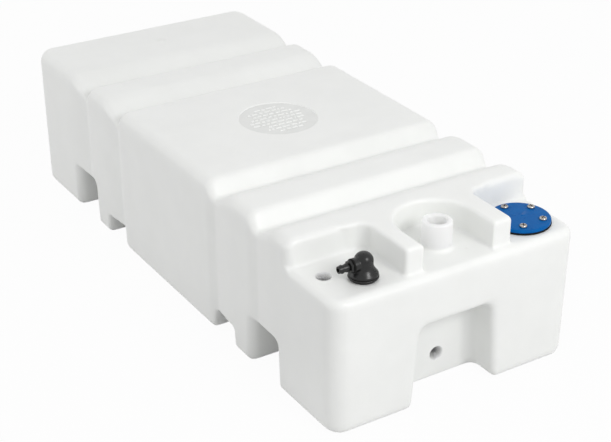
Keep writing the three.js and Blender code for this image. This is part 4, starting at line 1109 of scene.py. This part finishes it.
def vent_seal():
    seal = flat_ring(VENT_STEM_RADIUS + SEAT_GAP, VENT_WASHER_RADIUS, SHELF_LEVEL + SEAT_GAP,
                     SHELF_LEVEL + SEAT_GAP + VENT_WASHER_THICKNESS)
    dress(placed(seal, VENT_AXIS), "vent_seal", "tank", RUBBER, "vent_washer")


def post_groove(level, half, root):
    return [(VENT_POST_RADIUS, level - half), (root, level - half), (root, level + half),
            (VENT_POST_RADIUS, level + half)]


def vent_foot():
    """Stem through the port, round flange, and the grooved post that the elbow turns on."""
    ring_root = ELBOW_BORE_RADIUS - VENT_RING_RADIUS * 2 - SEAT_GAP * 2
    top = FLANGE_TOP + VENT_POST_LENGTH
    tip = FLANGE_BOTTOM - VENT_STEM_LENGTH
    edge = VENT_FLANGE_THICKNESS / 3
    foot = turned([
        (VENT_BORE_RADIUS, tip), (VENT_STEM_RADIUS, tip), (VENT_STEM_RADIUS, FLANGE_BOTTOM),
        (VENT_FLANGE_RADIUS, FLANGE_BOTTOM, edge), (VENT_FLANGE_RADIUS, FLANGE_TOP, edge),
        (VENT_POST_RADIUS, FLANGE_TOP),
        *post_groove(RING_LEVEL, VENT_RING_RADIUS + SEAT_GAP, ring_root),
        *post_groove(CLIP_LEVEL, VENT_CLIP_THICKNESS / 2 + VENT_CLIP_GAP,
                     VENT_POST_RADIUS - VENT_CLIP_DEPTH),
        (VENT_POST_RADIUS, top, SEAT_GAP), (VENT_BORE_RADIUS, top)], VENT_AXIS)
    dress(foot, "vent_foot", "tank", NYLON, "vent_base")


def post_ring():
    centre = ELBOW_BORE_RADIUS - SEAT_GAP - VENT_RING_RADIUS
    outline = []
    for step in range(SMALL_ROUND // 2):
        angle = 2 * math.pi * step / (SMALL_ROUND // 2)
        outline.append((centre + VENT_RING_RADIUS * math.cos(angle),
                        RING_LEVEL + VENT_RING_RADIUS * math.sin(angle)))
    dress(turned(outline, VENT_AXIS), "post_ring", "tank", RUBBER, "vent_o_ring")


def spring_clip():
    inner = VENT_POST_RADIUS - VENT_CLIP_DEPTH + VENT_CLIP_GAP
    outer = ELBOW_CHAMBER_RADIUS - VENT_CLIP_GAP
    half = VENT_CLIP_THICKNESS / 2
    clip = flat_ring(inner, outer, CLIP_LEVEL - half, CLIP_LEVEL + half)
    reach = outer * 2
    spread = reach * math.tan(math.radians(VENT_CLIP_OPENING_DEG / 2))
    cut(clip, skin_over([[(0, 0, z), (reach, -spread, z), (reach, spread, z)]
                         for z in (CLIP_LEVEL - OVERRUN, CLIP_LEVEL + OVERRUN)]))
    dress(placed(clip, VENT_AXIS), "spring_clip", "tank", SPRING, "vent_clip")


# Turns a piece made along Z to point left from the elbow at the height of its tail
TAIL_TURN = Matrix.Translation(at_level(VENT_AXIS, TAIL_LEVEL)) @ Matrix.Rotation(-math.pi / 2, 4, "Y")


def bell_elbow():
    """A bell over the post, domed above, with a tapped boss on its left for the hose tail."""
    waist = ELBOW_BOTTOM + ELBOW_SKIRT_HEIGHT
    bell = turned([
        (0, ELBOW_BOTTOM), (ELBOW_SKIRT_RADIUS, ELBOW_BOTTOM),
        (ELBOW_SKIRT_RADIUS, ELBOW_BOTTOM + ELBOW_SHOULDER, ELBOW_SHOULDER),
        (ELBOW_DOME_RADIUS, waist, ELBOW_DOME_RADIUS),
        (ELBOW_DOME_RADIUS, ELBOW_TOP, ELBOW_DOME_RADIUS - ELBOW_SHOULDER / 2), (0, ELBOW_TOP)],
        VENT_AXIS)
    join(bell, moved(rod(ELBOW_SIDE_BOSS_RADIUS, 0, BOSS_END), TAIL_TURN))
    thinned(softened(evened(bell, ELBOW_VOXEL), ELBOW_ROUNDS), ELBOW_KEPT_SHARE)
    shoulder = CLIP_LEVEL - VENT_CLIP_THICKNESS / 2 - VENT_CLIP_GAP
    chamber_top = ELBOW_TOP - (ELBOW_DOME_RADIUS - ELBOW_CHAMBER_RADIUS)
    chamber = turned([
        (0, shoulder), (ELBOW_CHAMBER_RADIUS, shoulder),
        (ELBOW_CHAMBER_RADIUS, chamber_top, ELBOW_CHAMBER_RADIUS / 2), (0, chamber_top)], VENT_AXIS)
    cut(bell, rod(ELBOW_BORE_RADIUS, ELBOW_BOTTOM - OVERRUN, shoulder + SEAT_GAP, VENT_AXIS), chamber,
        moved(rod(ELBOW_TAIL_THREAD_RADIUS, 0, BOSS_END + OVERRUN), TAIL_TURN))
    dress(bell, "bell_elbow", "elbow", NYLON, "vent_elbow", ELBOW_CREASE_DEG)


def tail_seal():
    seal = flat_ring(ELBOW_TAIL_THREAD_RADIUS, ELBOW_SIDE_BOSS_RADIUS, BOSS_END + SEAT_GAP,
                     BOSS_END + SEAT_GAP + TAIL_WASHER_THICKNESS)
    dress(moved(seal, TAIL_TURN), "tail_seal", "elbow", RUBBER, "tail_washer")


def barbed_tail():
    """Threaded end in the boss, hexagonal collar with chamfered corners, and barbs that grip a hose."""
    start = BOSS_END + SEAT_GAP * 2 + TAIL_WASHER_THICKNESS
    end = start + TAIL_COLLAR_LENGTH
    thread_radius = ELBOW_TAIL_THREAD_RADIUS - SEAT_GAP
    corners = [(0, start - TAIL_THREAD_LENGTH), (thread_radius, start - TAIL_THREAD_LENGTH),
               (thread_radius, start + SEAT_GAP), (TAIL_RADIUS, start + SEAT_GAP)]
    for barb in range(1, TAIL_BARB_COUNT + 1):
        crest = end + TAIL_BARB_PITCH * barb
        back = crest - TAIL_BARB_LENGTH
        corners += [(TAIL_RADIUS, back), (TAIL_BARB_RADIUS, back, SEAT_GAP), (TAIL_RADIUS, crest)]
    tip = crest + TAIL_TIP_LENGTH
    corners += [(TAIL_RADIUS, tip, SEAT_GAP * 2), (0, tip)]
    tail = turned(corners, facets=SMALL_ROUND)
    corner = TAIL_COLLAR_FLATS / math.sqrt(3)
    face = corner - TAIL_COLLAR_CHAMFER
    slope = TAIL_COLLAR_CHAMFER / 2
    collar = rod(corner, start, end, facets=6)
    combine(collar, turned([(0, start), (face, start), (corner, start + slope), (corner, end - slope),
                            (face, end), (0, end)]), "INTERSECT")
    join(tail, collar)
    cut(tail, rod(TAIL_BORE_RADIUS, 0, tip + OVERRUN))
    dress(moved(tail, TAIL_TURN), "barbed_tail", "elbow", NYLON, "vent_hose_tail",
          TAIL_CREASE_DEG)


moulded_tank()
screwed_cover()
cover_seal()
for number, screw_place in enumerate(SCREW_PLACES, 1):
    pan_head_screw(number, screw_place)
    threaded_insert(number, screw_place)
vent_seal()
vent_foot()
post_ring()
spring_clip()
bell_elbow()
tail_seal()
barbed_tail()


# Stage, light and camera

def seen_in_a_line(tree):
    """One on rays from the camera, also by way of a gloss or a clear piece, and nought on others."""
    path = add_node(tree, "ShaderNodeLightPath")
    seen = path.outputs["Is Camera Ray"]
    for kind in ("Is Glossy Ray", "Is Transmission Ray"):
        seen = add_node(tree, "ShaderNodeMath", {"operation": "MAXIMUM"}, {
            0: seen, 1: path.outputs[kind]}).outputs[0]
    return seen


def stage_floor():
    """A matt white backdrop that looks almost plain white and still holds the soft shadow."""
    corners = [(x * FLOOR_REACH, y * FLOOR_REACH, 0) for x, y in ((-1, -1), (1, -1), (1, 1), (-1, 1))]
    floor = new_piece(corners, [(0, 1, 2, 3)])
    floor.name = "floor"
    floor.location.z = -SEAT_GAP
    material, tree = new_material("matt_white_backdrop")
    plain = add_node(tree, "ShaderNodeBsdfDiffuse", inputs={"Color": linear(FLOOR_GREY)})
    glow = add_node(tree, "ShaderNodeEmission", inputs={"Color": (1, 1, 1, 1), "Strength": 1.0})
    share = add_node(tree, "ShaderNodeMath", {"operation": "MULTIPLY"}, {
        0: seen_in_a_line(tree), 1: FLOOR_WHITE_SHARE})
    mixed = add_node(tree, "ShaderNodeMixShader", inputs={
        0: share.outputs[0], 1: plain.outputs[0], 2: glow.outputs[0]})
    add_node(tree, "ShaderNodeOutputMaterial", inputs={"Surface": mixed.outputs[0]})
    floor.data.materials.append(material)


def room_light():
    world = bpy.data.worlds.new("soft_room")
    world.use_nodes = True
    tree = world.node_tree
    tree.nodes.clear()
    level = add_node(tree, "ShaderNodeMapRange", inputs={
        "Value": seen_in_a_line(tree), "To Min": ROOM_STRENGTH, "To Max": 1.0})
    background = add_node(tree, "ShaderNodeBackground", inputs={
        "Color": (1, 1, 1, 1), "Strength": level.outputs["Result"]})
    add_node(tree, "ShaderNodeOutputWorld", inputs={"Surface": background.outputs[0]})
    bpy.context.scene.world = world


def square_lamp(name, place, aim, size, watts):
    light = bpy.data.lights.new(name, "AREA")
    light.size = size
    light.energy = watts
    lamp = bpy.data.objects.new(name, light)
    lamp.location = place
    lamp.rotation_euler = (Vector(aim) - Vector(place)).to_track_quat("-Z", "Y").to_euler()
    bpy.context.scene.collection.objects.link(lamp)


def fitted_camera():
    azimuth = math.radians(CAMERA_AZIMUTH_DEG)
    elevation = math.radians(CAMERA_ELEVATION_DEG)
    away = Vector((math.sin(azimuth) * math.cos(elevation), -math.cos(azimuth) * math.cos(elevation),
                   math.sin(elevation)))
    roll = Matrix.Rotation(math.radians(CAMERA_ROLL_DEG), 4, "Z")
    camera = bpy.data.cameras.new("camera")
    camera.lens = CAMERA_LENS_MM
    camera.sensor_width = CAMERA_SENSOR_MM
    camera.sensor_fit = "HORIZONTAL"
    viewer = bpy.data.objects.new("camera", camera)
    viewer.matrix_world = (Matrix.Translation(CAMERA_TARGET + away * CAMERA_DISTANCE)
                           @ away.to_track_quat("Z", "Y").to_matrix().to_4x4() @ roll)
    bpy.context.scene.collection.objects.link(viewer)
    bpy.context.scene.camera = viewer


stage_floor()
room_light()
square_lamp("key", place=(0.30, -2.00, 1.40), aim=(0, -0.3, 0.1), size=0.7, watts=16.5)
square_lamp("left_fill", place=(-1.9, 1.2, 1.0), aim=(0, 0, 0.1), size=1.4, watts=6)
fitted_camera()
bpy.context.scene.view_settings.view_transform = "Standard"
